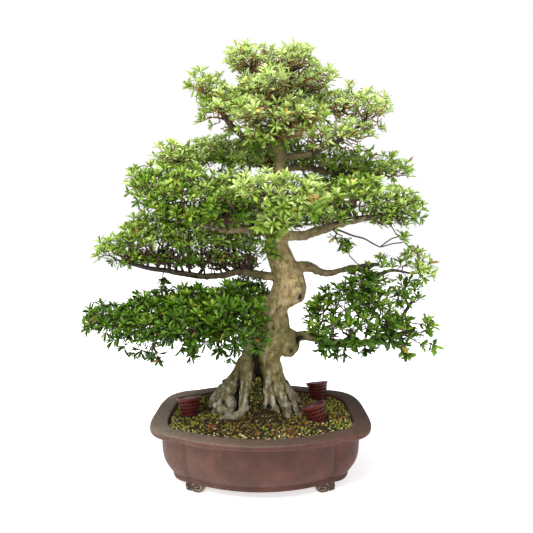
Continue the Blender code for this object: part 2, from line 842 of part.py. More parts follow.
def basket_forms(place):
    """Return a basket's cup, lid, fill and the hole that it makes in the soil."""
    cup = turned(CUP_PROFILE, CUP_SIDES, CUP_PEG, CUP_FLOOR)
    lid = turned([(LID_RADIUS, height) for height in LID_HEIGHTS], CUP_SIDES)
    fill = turned(list(zip(FILL_RADII, FILL_HEIGHTS)), CUP_SIDES)
    room = 1.4 * GAP
    profile = [(radius + room, height - room * (height == 0.0)) for radius, height in CUP_PROFILE[:3]]
    hole = turned(profile, CUP_SIDES, CUP_PEG - 3 * room)
    frame = basket_frame(place)
    for form in (cup, lid, fill, hole):
        bmesh.ops.transform(form, matrix=frame, verts=form.verts)
    return cup, lid, fill, hole


def trunk_form(swell=0.0):
    """Return the fluted trunk as a loft of level rings."""
    rings = []
    for x, y, z, half_width, half_depth in TRUNK:
        fade = max(0.0, 1 - z / FLUTE_TOP)
        ring = []
        for step in range(TRUNK_SIDES):
            angle = 2 * math.pi * step / TRUNK_SIDES
            flute = 1 + FLUTE_DEPTH * fade * math.cos(FLUTES * angle + 9 * z)
            ring.append((x + (half_width * flute + swell) * math.cos(angle),
                         y + (half_depth * flute + swell) * math.sin(angle), z))
        rings.append(ring)
    return loft(rings)


def ball_form(centre, size, noise=0.0, rng=None, flat=1.0):
    """Return a low ball, stretched to its half sizes and flattened below."""
    form = turned(BALL_PROFILE, BALL_SIDES, -flat, 1.0)
    for corner_vert in form.verts:
        place = corner_vert.co.copy()
        if rng:
            place *= 1 + rng.uniform(-noise, noise)
        corner_vert.co = [c + s * p for c, s, p in zip(centre, size, place)]
    return form


def core_size(lobe):
    """Return the half sizes of a lobe's core from those of its leaf tips."""
    return [CORE_SWELL * max(CORE_SHARE * size, size - LEAF_REACH) for size in lobe[3:]]


def settled_cores():
    """Return each spray's cores, drawn in until other sprays' are clear."""
    cores = {name: [[Vector(lobe[:3]), core_size(lobe)] for lobe in lobes]
             for name, lobes in LOBES.items()}
    names = list(cores)
    for first_index, first in enumerate(names):
        for second in names[first_index + 1:]:
            for one in cores[first]:
                for other in cores[second]:
                    draw_apart(one, other)
    return cores


def reach(size, direction):
    """Return an ellipsoid's half extent along a direction."""
    return math.sqrt(sum((s * d) ** 2 for s, d in zip(size, direction)))


def draw_apart(one, other):
    """Shrink two cores of different sprays that would touch."""
    between = other[0] - one[0]
    room = between.length - CORE_SPACE
    direction = between.normalized()
    taken = (reach(one[1], direction) + reach(other[1], direction)) * (1 + CORE_NOISE)
    if taken > room:
        share = room / taken
        one[1] = [size * share for size in one[1]]
        other[1] = [size * share for size in other[1]]


def overlap_depth(one, other):
    """Return how deep two cores reach into each other."""
    between = other[0] - one[0]
    direction = between.normalized()
    return reach(one[1], direction) + reach(other[1], direction) - between.length


def link_form(one, other):
    """Return a lump that ties a lobe's core to its neighbour's."""
    between = other[0] - one[0]
    along = between.length * LINK_SHARE
    wide = LINK_SHARE * min(one[1][1], other[1][1])
    high = LINK_SHARE * min(one[1][2], other[1][2])
    form = ball_form((0.0, 0.0, 0.0), (along, wide, high))
    turn = between.to_track_quat("X", "Z").to_matrix().to_4x4()
    middle = Matrix.Translation((one[0] + other[0]) / 2)
    bmesh.ops.transform(form, matrix=middle @ turn, verts=form.verts)
    return form


def core_forms(cores, rng):
    """Return a spray's cores and the lumps that tie them together."""
    forms = []
    for index, (centre, size) in enumerate(cores):
        forms.append(ball_form(centre, size, CORE_NOISE, rng, CORE_FLAT))
        if index:
            nearest = min(cores[:index], key=lambda core: (core[0] - centre).length)
            if overlap_depth(nearest, (centre, size)) < LINK_DEPTH:
                forms.append(link_form(nearest, (centre, size)))
    return forms


def nearest_on(points, target, upstream):
    """Return the row of a branch that lies nearest a point, further in."""
    rows = smooth_path(points, 4)
    best = min(range(len(rows)), key=lambda index: (rows[index].to_3d() - target).length)
    return rows[max(1, best - upstream)], rows[best]


def twig_rows(name, cores):
    """Return the twigs that carry the lobes which the branch doesn't reach."""
    twigs = []
    carriers = CARRIERS.get(name, (name,))
    for centre, size in cores:
        choices = [nearest_on(BRANCHES[carrier], centre, 2) for carrier in carriers]
        start, nearest = min(choices, key=lambda pair: (pair[1].to_3d() - centre).length)
        if (nearest.to_3d() - centre).length < TWIG_NEED * min(size):
            continue
        end = centre - Vector((0.0, 0.0, 0.35 * size[2]))
        radii = [min(radius, 0.8 * start[3]) for radius in TWIG_RADII]
        twigs.append([(*start.to_3d(), radii[0]), (*end, radii[1])])
    return twigs


def whorl_form(place, axis, turn, lift):
    """Return a rosette of leaves round a twig tip, with the twig's spike."""
    form = bmesh.new()
    hub = place + axis * WHORL_STAND
    frame = axis.to_track_quat("Z", "X").to_matrix()
    apex = form.verts.new(hub + axis * WHORL_CROWN)
    spike = form.verts.new(place - axis * WHORL_ROOT)
    step = 2 * math.pi / WHORL_LEAVES
    ring = []
    blades = []
    for index in range(WHORL_LEAVES):
        angle = turn + index * step
        notch = Vector((math.cos(angle - step / 2), math.sin(angle - step / 2), 0.0)) * WHORL_HUB
        ring.append(form.verts.new(hub + frame @ notch))
        rise = lift + 0.12 * math.sin(3.7 * index + turn)
        out = Vector((math.cos(angle) * math.cos(rise), math.sin(angle) * math.cos(rise), math.sin(rise)))
        side = Vector((-math.sin(angle), math.cos(angle), 0.0)) * LEAF_HALF_WIDTH
        belly = out * LEAF_LENGTH * LEAF_WIDEST
        tip = out * LEAF_LENGTH - Vector((0.0, 0.0, 0.10 * LEAF_LENGTH))
        corners = (belly - side, tip, belly + side)
        blades.append([form.verts.new(hub + frame @ point) for point in corners])
    for index, (right, tip, left) in enumerate(blades):
        near = ring[index]
        far = ring[(index + 1) % WHORL_LEAVES]
        for face in ((apex, near, right), (apex, right, tip), (apex, tip, left), (apex, left, far),
                     (near, tip, right), (near, far, tip), (far, left, tip), (far, near, spike)):
            form.faces.new(face)
    return form


def surface_points(cores, surface, rng):
    """Return places spread over a spray's cores, each with its outward axis."""
    golden = math.pi * (3 - math.sqrt(5))
    places = []
    for index, (centre, size) in enumerate(cores):
        start = rng.uniform(0, 2 * math.pi)
        for step in range(CANDIDATES):
            level = 1 - 2 * (step + 0.5) / CANDIDATES
            round_radius = math.sqrt(1 - level * level)
            spin = start + golden * step
            unit = Vector((round_radius * math.cos(spin), round_radius * math.sin(spin), level))
            normal = Vector([u / s for u, s in zip(unit, size)]).normalized()
            spoke = Vector([s * u for s, u in zip(size, unit)])
            place = surface.ray_cast(centre + 1.5 * spoke, -spoke, 1.2 * spoke.length)[0]
            if place is None:
                continue
            others = [core for other, core in enumerate(cores) if other != index]
            if unit.z > UNDERSIDE and not any(inside(place, core) for core in others):
                places.append((place, (normal + Vector((0.0, 0.0, 0.35))).normalized()))
    return sorted(places, key=lambda item: (item[0] - TREE_MIDDLE).length, reverse=True)


def inside(place, core):
    """Say whether a point is within a core, or too near its surface."""
    centre, size = core
    return sum(((p - c) / (1.15 * s)) ** 2 for p, c, s in zip(place, centre, size)) < 1


def tree_of(form):
    """Return a search tree of a bmesh's faces with its bounding corners."""
    points = [vert.co for vert in form.verts]
    low = Vector([min(point[axis] for point in points) - 3 * GAP for axis in range(3)])
    high = Vector([max(point[axis] for point in points) + 3 * GAP for axis in range(3)])
    return BVHTree.FromBMesh(form), low, high


def near(one, other):
    """Say whether the boxes round two solids meet."""
    return all(one[1][axis] < other[2][axis] and other[1][axis] < one[2][axis] for axis in range(3))


def touches(one, others):
    """Say whether a solid meets any of the others."""
    return any(near(one, other) and one[0].overlap(other[0]) for other in others)


def whorl_forms(cores, surface, obstacles, rng):
    """Return the leaf whorls that fit on a spray clear of other pieces."""
    forms = []
    taken = []
    for place, axis in surface_points(cores, surface, rng):
        if any((place - other).length < WHORL_SPACING for other in taken):
            continue
        for _ in range(TRIES):
            lift = math.radians(rng.uniform(*LEAF_LIFT))
            form = whorl_form(place, axis, rng.uniform(0, 2 * math.pi), lift)
            if touches(tree_of(form), obstacles):
                form.free()
                continue
            forms.append(form)
            taken.append(place)
            break
    return forms


def make_wood(cores, material, parent):
    """Build the trunk, roots, branches and twigs as one body."""
    rows = [(points, ROOT_SIDES) for points in ROOTS.values()]
    rows += [(points, BRANCH_SIDES) for points in BRANCHES.values()]
    for name, spray_cores in cores.items():
        rows += [(points, TWIG_SIDES) for points in twig_rows(name, spray_cores)]
    forms = [trunk_form(), ball_form(BURL_CENTRE, BURL_SIZE)]
    forms += [tube(points, sides) for points, sides in rows]
    wood = combine("trunk_and_branches", forms, material, parent)
    keep_largest(wood)
    sleeves = [trunk_form(1.5 * GAP)]
    sleeves += [tube(points, sides, 1.5 * GAP) for points, sides in rows]
    return wood, sleeves


def make_spray(name, cores, obstacles, sleeves, rng, material, parent):
    """Build one pad of foliage round the wood that carries it."""
    core = combine("foliage core", core_forms(cores, rng), material, parent)
    thinning = core.modifiers.new("thinning", "DECIMATE")
    thinning.ratio = CORE_DETAIL
    apply_modifiers(core)
    keep_largest(core)
    form = copy_form(core)
    bpy.data.objects.remove(core, do_unlink=True)
    whorls = whorl_forms(cores, BVHTree.FromBMesh(form), obstacles, rng)
    spray = combine("foliage_" + name, [form, *whorls], material, parent)
    keep_largest(spray)
    body = copy_form(spray)
    here = tree_of(body)
    cutters = [sleeve.copy() for sleeve in sleeves if near(here, tree_of(sleeve))]
    bpy.data.objects.remove(spray, do_unlink=True)
    spray = combine("foliage_" + name, [body, *cutters], material, parent, "DIFFERENCE")
    keep_largest(spray)
    return spray


def make_baskets(materials, parent):
    """Build the four baskets and return the holes that they make in the soil."""
    holes = []
    for name, place in BASKETS.items():
        cup, lid, fill, hole = basket_forms(place)
        make_object("basket_cup_" + name, cup, materials["basket"], parent)
        make_object("basket_lid_" + name, lid, materials["lid"], parent)
        make_object("fertiliser_" + name, fill, materials["fertiliser"], parent)
        holes.append(hole)
    return holes


def make_materials():
    """Return the plain finish of each kind of piece."""
    return {
        "stoneware": make_material("brown stoneware", (0.115, 0.052, 0.041), 0.62),
        "soil": make_material("mossy soil", (0.075, 0.085, 0.018), 0.95),
        "bark": make_material("grey bark", (0.230, 0.190, 0.125), 0.80),
        "leaf": make_material("azalea leaf", (0.105, 0.230, 0.028), 0.45),
        "basket": make_material("maroon basket plastic", (0.080, 0.014, 0.012), 0.38),
        "lid": make_material("maroon lid plastic", (0.095, 0.018, 0.015), 0.35),
        "fertiliser": make_material("pressed fertiliser", (0.055, 0.036, 0.022), 0.95),
        "plate": make_material("black mesh plastic", (0.012, 0.012, 0.012), 0.50),
    }


def make_tree():
    """Build every piece under the pot's stand point."""
    clear_scene()
    rng = random.Random(SEED)
    materials = make_materials()
    stand = bpy.data.objects.new("pot_stand_point", None)
    stand.location = (POT_X, 0.0, 0.0)
    bpy.context.scene.collection.objects.link(stand)

    pot = make_pot(materials["stoneware"], stand)
    holes = make_baskets(materials, stand)
    for side, name in ((-1, "drain_mesh_left"), (1, "drain_mesh_right")):
        make_object(name, plate_form(side), materials["plate"], stand)
        holes.append(plate_form(side, 1.2 * GAP))

    cores = settled_cores()
    wood, sleeves = make_wood(cores, materials["bark"], stand)
    buried = [sleeve.copy() for sleeve in sleeves if tree_of(sleeve)[1].z < SOIL_EDGE + 0.02]
    soil = combine("soil", [soil_form(), *holes, *buried], materials["soil"], stand, "DIFFERENCE")
    keep_largest(soil)

    others = {name: [tree_of(form) for form in core_forms(spray, random.Random(SEED))]
              for name, spray in cores.items()}
    solid = [tree_of(sleeve) for sleeve in sleeves]
    solid += [tree_of(copy_form(item)) for item in (pot, wood)]
    for name, spray_cores in cores.items():
        obstacles = solid + [tree for other, trees in others.items() if other != name for tree in trees]
        spray = make_spray(name, spray_cores, obstacles, sleeves, rng, materials["leaf"], stand)
        others[name] = [tree_of(copy_form(spray))]
    for sleeve in sleeves:
        sleeve.free()


make_tree()
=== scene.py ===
"""A satsuki azalea bonsai in a lobed stoneware pot, dressed for a studio view.

The tables give places in millimetres from the middle of the pot's own plan.
The pot's place in the frame is read from its CAD node, and every piece is
moved there when its mesh is finished.
"""

import logging
import math
from dataclasses import dataclass, field
from enum import Enum

import bmesh
import bpy
import numpy as np
from mathutils import Matrix, Vector, noise
from mathutils.kdtree import KDTree

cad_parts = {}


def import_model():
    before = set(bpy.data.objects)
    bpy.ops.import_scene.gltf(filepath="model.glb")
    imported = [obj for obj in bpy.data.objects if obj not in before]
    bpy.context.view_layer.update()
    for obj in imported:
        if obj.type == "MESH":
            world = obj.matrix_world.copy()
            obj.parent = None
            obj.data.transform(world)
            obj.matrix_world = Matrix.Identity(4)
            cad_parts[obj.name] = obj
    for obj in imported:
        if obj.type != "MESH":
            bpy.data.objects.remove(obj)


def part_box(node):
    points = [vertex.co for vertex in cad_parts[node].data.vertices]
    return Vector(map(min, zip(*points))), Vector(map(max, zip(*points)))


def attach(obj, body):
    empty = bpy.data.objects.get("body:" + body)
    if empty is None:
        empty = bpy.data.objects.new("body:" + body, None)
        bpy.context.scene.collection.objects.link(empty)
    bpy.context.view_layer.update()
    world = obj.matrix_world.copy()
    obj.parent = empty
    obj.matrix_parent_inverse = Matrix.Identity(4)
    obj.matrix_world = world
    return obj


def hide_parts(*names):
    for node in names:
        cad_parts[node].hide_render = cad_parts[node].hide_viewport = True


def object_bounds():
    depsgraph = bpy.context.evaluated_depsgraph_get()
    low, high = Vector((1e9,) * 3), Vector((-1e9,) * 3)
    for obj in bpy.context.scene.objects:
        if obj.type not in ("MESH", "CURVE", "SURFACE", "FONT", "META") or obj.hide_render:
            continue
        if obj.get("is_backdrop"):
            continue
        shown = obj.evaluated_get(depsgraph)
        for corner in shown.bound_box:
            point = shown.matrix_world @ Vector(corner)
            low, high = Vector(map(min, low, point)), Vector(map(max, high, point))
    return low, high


Array = np.ndarray
Rng = np.random.Generator
Form = bmesh.types.BMesh
Mesh = bpy.types.Mesh
Material = bpy.types.Material
Tree = bpy.types.NodeTree
Socket = bpy.types.NodeSocket
# The lowest and highest corner that leaf tips keep within
Box = tuple[Array, Array]

MM = 0.001
LOG = logging.getLogger("azalea bonsai")
# The output that is read where it isn't a node's first, by kind of node or of data
OUTPUTS = {"TexCoord": "Object", "Attribute": "Fac", "VectorMath": "Value", "RGBA": 2}

# Trunk rings from the soil to the tip: x, y, z, half-width, half-depth
TRUNK = [
    (-8, 2, 100, 38, 34), (-8, 3, 132, 37, 33), (-8, 3, 160, 33, 30), (-6, 2, 189, 32, 30),
    (2, 0, 233, 38, 34), (19, 0, 271, 40, 37), (24, 0, 300, 34, 34), (27, 0, 318, 30, 31),
    (41, 0, 336, 32, 32), (54, 0, 359, 36, 34), (56, 0, 387, 32, 32), (45, 0, 416, 28, 28),
    (34, 0, 447, 24.5, 24), (32, 0, 471, 21, 20), (33, 0, 499, 17.5, 17), (37, 0, 544, 13, 13),
    (38, 0, 587, 10.5, 10.5), (38, 0, 628, 9.5, 9.5), (37, 0, 652, 8.5, 8.5), (43, 1, 675, 6.5, 6.5),
]
# Roots and branches from the trunk outwards: x, y, z and radius
ROOTS = {
    "left_leg": [(-6, 0, 251, 30), (-19, -12, 222, 23), (-27, -20, 188, 15), (-31, -27, 156, 11),
        (-32, -34, 138, 10), (-38, -42, 125, 9), (-52, -46, 121, 7.5), (-66, -46, 119, 6),
        (-82, -44, 113, 4.5)],
    "left_arch": [(-29, -2, 218, 17), (-42, -5, 197, 15.5), (-56, -9, 176, 15), (-71, -11, 157, 14),
        (-83, -13, 140, 11), (-90, -15, 123, 8.5), (-94, -16, 106, 6.5)],
    "left_shoulder": [(-28, 0, 214, 16), (-45, 0, 188, 13), (-62, 2, 166, 11), (-76, 0, 148, 9),
        (-86, -2, 124, 7), (-90, -4, 106, 6)],
    "left_loop": [(-77, -9, 153, 11), (-68, -16, 151, 11.5), (-60, -21, 144, 9.5), (-57, -24, 129, 7.5),
        (-58, -26, 108, 7)],
    "left_web": [(-34, 2, 205, 16), (-44, 6, 175, 13), (-50, 8, 145, 12), (-52, 8, 104, 11)],
    "left_strand": [(-87, -15, 138, 11), (-81, -20, 127, 11), (-70, -25, 119, 9.5), (-59, -28, 113, 7),
        (-52, -30, 103, 6)],
    "left_back": [(-31, 6, 213, 15), (-47, 10, 190, 12), (-66, 12, 169, 9.5), (-87, 12, 150, 7.5),
        (-98, 10, 137, 6.5), (-105, 8, 118, 5.5), (-107, 6, 104, 5)],
    "right_leg": [(18, 0, 251, 28), (17, -8, 217, 22), (17, -16, 186, 16), (12, -25, 160, 11),
        (7, -32, 138, 8.5), (5, -38, 110, 7)],
    "right_front": [(22, -6, 216, 17), (25, -15, 188, 13.5), (34, -24, 166, 11), (44, -30, 147, 9.5),
        (50, -35, 130, 8.5), (54, -39, 114, 7.5), (55, -42, 102, 7)],
    "right_side": [(24, 0, 222, 16), (31, -3, 193, 10.5), (42, -9, 171, 9), (54, -15, 153, 8),
        (64, -21, 138, 7.5), (70, -26, 122, 6.5), (72, -30, 104, 6)],
    "right_back": [(24, 10, 212, 14), (34, 16, 182, 9), (50, 22, 156, 6.5), (68, 26, 138, 5.2),
        (90, 26, 108, 4.5)],
    "right_strand": [(18, -24, 176, 9), (20, -33, 153, 7.5), (28, -41, 134, 7), (33, -47, 112, 6)],
    "back_left": [(-2, 12, 211, 20), (-9, 30, 173, 13), (-20, 50, 144, 9), (-24, 72, 124, 6.5),
        (-22, 90, 106, 4.8)],
    "back_middle": [(12, 14, 211, 20), (17, 38, 166, 13), (20, 60, 139, 8.5), (24, 84, 115, 6),
        (26, 100, 100, 4.8)],
    "back_right": [(23, 12, 211, 18), (40, 32, 168, 12), (57, 50, 144, 8), (74, 64, 121, 5.8),
        (88, 74, 104, 4.8)],
}
BRANCHES = {
    "left_low": [(4, -12, 268, 17), (-17, -28, 279, 15), (-40, -44, 292, 13), (-87, -60, 307, 11.5),
        (-153, -66, 310, 9.5), (-211, -62, 307, 7.5), (-266, -56, 314, 5.5), (-300, -52, 318, 4)],
    "left_second": [(47, 0, 383, 12), (22, -1, 388, 9), (-12, -5, 394, 8.5), (-46, -10, 400, 7.5),
        (-78, -12, 392, 6.5), (-126, -15, 391, 6), (-182, -18, 401, 5), (-227, -20, 407, 4.2),
        (-270, -23, 420, 3.5)],
    "left_third": [(33, 0, 475, 12), (2, -14, 481, 10), (-31, -30, 485, 8.5), (-75, -46, 485, 7.5),
        (-130, -56, 498, 6), (-180, -60, 524, 4.5), (-212, -50, 546, 3.5)],
    "left_upper": [(37, 0, 605, 7), (6, 26, 619, 6.5), (-50, 52, 632, 5.5), (-116, 60, 636, 4.5),
        (-178, 50, 630, 3.5)],
    "front_middle": [(32, -6, 507, 11), (26, -36, 520, 9), (14, -74, 531, 7.5), (4, -110, 541, 5.5)],
    "right_low": [(47, 0, 257, 14), (71, -2, 266, 11), (95, -6, 269, 9.5), (123, -12, 262, 9),
        (168, -20, 256, 8), (220, -25, 261, 6.5), (267, -22, 274, 5), (305, -20, 282, 3.8)],
    "right_low_fork": [(233, -24, 261, 5), (272, -18, 297, 4.2), (304, -11, 338, 3.6)],
    "right_second": [(59, 0, 406, 13), (84, 0, 409, 11), (101, -2, 408, 10), (118, -4, 399, 8),
        (134, -5, 396, 7), (162, -8, 401, 6), (193, -12, 407, 6.5), (230, -16, 393, 5), (260, -18, 402, 3.4),
        (301, -22, 397, 2), (324, -22, 402, 1.4)],
    "right_second_stub": [(193, -12, 408, 5), (215, -13, 413, 4.2), (235, -14, 414, 3.6)],
    "right_third": [(37, 0, 470, 14), (63, 4, 472, 10.5), (88, 5, 472, 10), (112, 0, 480, 9.5),
        (145, -10, 491, 8.5), (178, -18, 501, 7.5), (224, -25, 509, 5.5), (259, -28, 518, 4)],
    "right_third_twig": [(145, -14, 486, 2.6), (163, -20, 480, 1.9), (188, -24, 470, 1.7),
        (208, -26, 464, 1.5), (227, -26, 453, 1.4), (237, -26, 449, 1.3), (261, -26, 456, 1.2),
        (281, -26, 458, 1.2)],
    "right_third_spur": [(236, -26, 449, 1.4), (257, -26, 465, 1.2), (275, -24, 471, 1.2)],
    "right_upper": [(37, 0, 601, 8), (60, 14, 611, 7), (98, 30, 614, 6), (158, 36, 604, 5),
        (212, 32, 597, 4.2), (259, 26, 598, 3.5)],
    "crown_left": [(37, 0, 644, 8), (10, -3, 654, 7.5), (-24, -8, 662, 7), (-44, -10, 679, 6.5),
        (-66, -12, 700, 5.5), (-90, -13, 736, 4.5), (-112, -11, 759, 3.5)],
    "crown_leader": [(41, 0, 662, 8), (49, 2, 687, 7), (57, 0, 715, 6), (61, -3, 747, 5), (60, -4, 775, 4),
        (63, -2, 804, 3.4)],
    "crown_tip": [(55, 0, 703, 6), (26, -6, 730, 5.2), (-4, -8, 770, 4.5), (-20, -6, 811, 3.6)],
    "crown_right": [(39, 0, 632, 7.5), (71, -4, 633, 6.5), (103, -8, 639, 6), (139, -12, 654, 5),
        (179, -14, 676, 4.4), (212, -14, 708, 3.6)],
    "crown_right_inner": [(57, 0, 691, 5.5), (90, 4, 706, 4.8), (129, 2, 720, 4.2), (160, -3, 725, 3.5)],
    "crown_front": [(41, -2, 654, 6.5), (34, -22, 666, 5.5), (20, -44, 684, 4.5)],
    "crown_back": [(41, 2, 646, 7), (37, 26, 676, 6), (29, 48, 712, 5), (24, 56, 742, 4)],
    "back_low": [(22, 6, 332, 17), (10, 40, 333, 13), (-10, 76, 332, 11), (-38, 104, 322, 8.5),
        (-78, 116, 300, 6)],
    "back_middle": [(33, 4, 455, 15), (42, 40, 467, 11.5), (50, 78, 488, 9), (38, 108, 512, 6.5),
        (6, 118, 527, 5)],
    "back_right": [(35, 2, 528, 9), (61, 32, 536, 8), (110, 62, 547, 6.5), (166, 86, 560, 5),
        (196, 94, 570, 4)],
    "back_upper": [(37, 2, 573, 8), (31, 28, 597, 7), (24, 60, 626, 5.5), (23, 88, 652, 4.5)],
}
# Foliage pads: a spray's lobes as x, y, z and half sizes out to the leaf tips
LOBES = {
    "left_low": [(-50, -80, 312, 60, 52, 68), (-132, -74, 310, 64, 58, 66), (-219, -58, 298, 60, 52, 58),
        (-291, -50, 308, 50, 40, 38), (-172, 4, 306, 80, 50, 54)],
    "left_second": [(-48, 22, 442, 50, 44, 38), (-131, -6, 457, 65, 56, 51), (-217, -20, 463, 60, 52, 54),
        (-279, -25, 439, 42, 36, 36)],
    "left_third": [(-59, -56, 540, 54, 46, 48), (-135, -58, 549, 65, 56, 52), (-212, -40, 561, 45, 44, 47),
        (0, -26, 480, 40, 34, 30), (-36, -24, 490, 44, 34, 26), (-150, -50, 512, 60, 42, 28)],
    "left_upper": [(14, 20, 628, 36, 30, 30), (-24, 54, 639, 52, 46, 34), (-102, 58, 642, 61, 52, 39),
        (-178, 48, 631, 51, 42, 34)],
    "front_middle": [(36, -76, 500, 41, 40, 28), (72, -96, 537, 51, 44, 42), (3, -112, 545, 48, 44, 38)],
    "right_third": [(131, -34, 505, 40, 34, 28), (177, -46, 539, 62, 50, 46), (259, -30, 522, 55, 44, 41),
        (254, -12, 499, 44, 34, 24)],
    "right_upper": [(111, 46, 618, 51, 46, 36), (184, 40, 613, 59, 50, 36), (261, 26, 604, 54, 42, 31)],
    "right_second": [(218, -22, 381, 36, 28, 24)],
    "right_low": [(149, -24, 300, 52, 46, 66), (210, -34, 304, 54, 50, 62), (272, -22, 276, 42, 36, 34),
        (296, -12, 350, 42, 36, 30), (192, -30, 368, 38, 34, 30)],
    "crown_left": [(-76, -18, 719, 46, 42, 48), (-113, -10, 761, 40, 38, 40)],
    "crown_top": [(18, -32, 754, 59, 44, 43), (-20, -5, 815, 51, 46, 49), (62, 0, 812, 57, 50, 47),
        (112, 4, 782, 44, 42, 38)],
    "crown_front": [(-1, -48, 691, 60, 44, 44), (78, -42, 695, 53, 44, 45), (34, -34, 668, 48, 34, 26)],
    "crown_right": [(117, -28, 665, 42, 36, 34), (181, -24, 663, 50, 40, 36), (161, -2, 727, 51, 44, 47),
        (215, -14, 714, 46, 40, 42)],
    "crown_back": [(75, 56, 746, 69, 50, 60), (-20, 60, 748, 65, 48, 56)],
    "back_low": [(-35, 104, 322, 64, 48, 48), (-93, 118, 296, 61, 40, 45)],
    "back_middle": [(-4, 118, 530, 78, 46, 55), (88, 112, 500, 54, 44, 42), (-82, 104, 516, 56, 42, 43)],
    "back_right": [(128, 90, 562, 57, 40, 44), (199, 102, 578, 67, 46, 45)],
    "back_upper": [(23, 108, 660, 76, 50, 49)],
}
# Where old twigs without leaves crowd below a pad, in the same form as its lobes
TANGLES = {
    "left_second": [(-36, -12, 424, 44, 44, 34), (-92, -20, 430, 62, 54, 40), (-150, -24, 434, 66, 54, 40),
        (-206, -26, 436, 56, 48, 36), (-250, -24, 430, 40, 38, 28)],
    "left_third": [(-70, -62, 504, 56, 40, 26), (-140, -66, 512, 60, 40, 28)],
}
# Branches that carry a spray when they aren't the one of its own name
CARRIERS = {
    "right_low": ("right_low", "right_low_fork"),
    "crown_top": ("crown_leader", "crown_tip"),
    "crown_front": ("crown_front", "crown_leader"),
    "crown_right": ("crown_right", "crown_right_inner"),
    "right_second": ("right_second", "right_second_stub"),
}
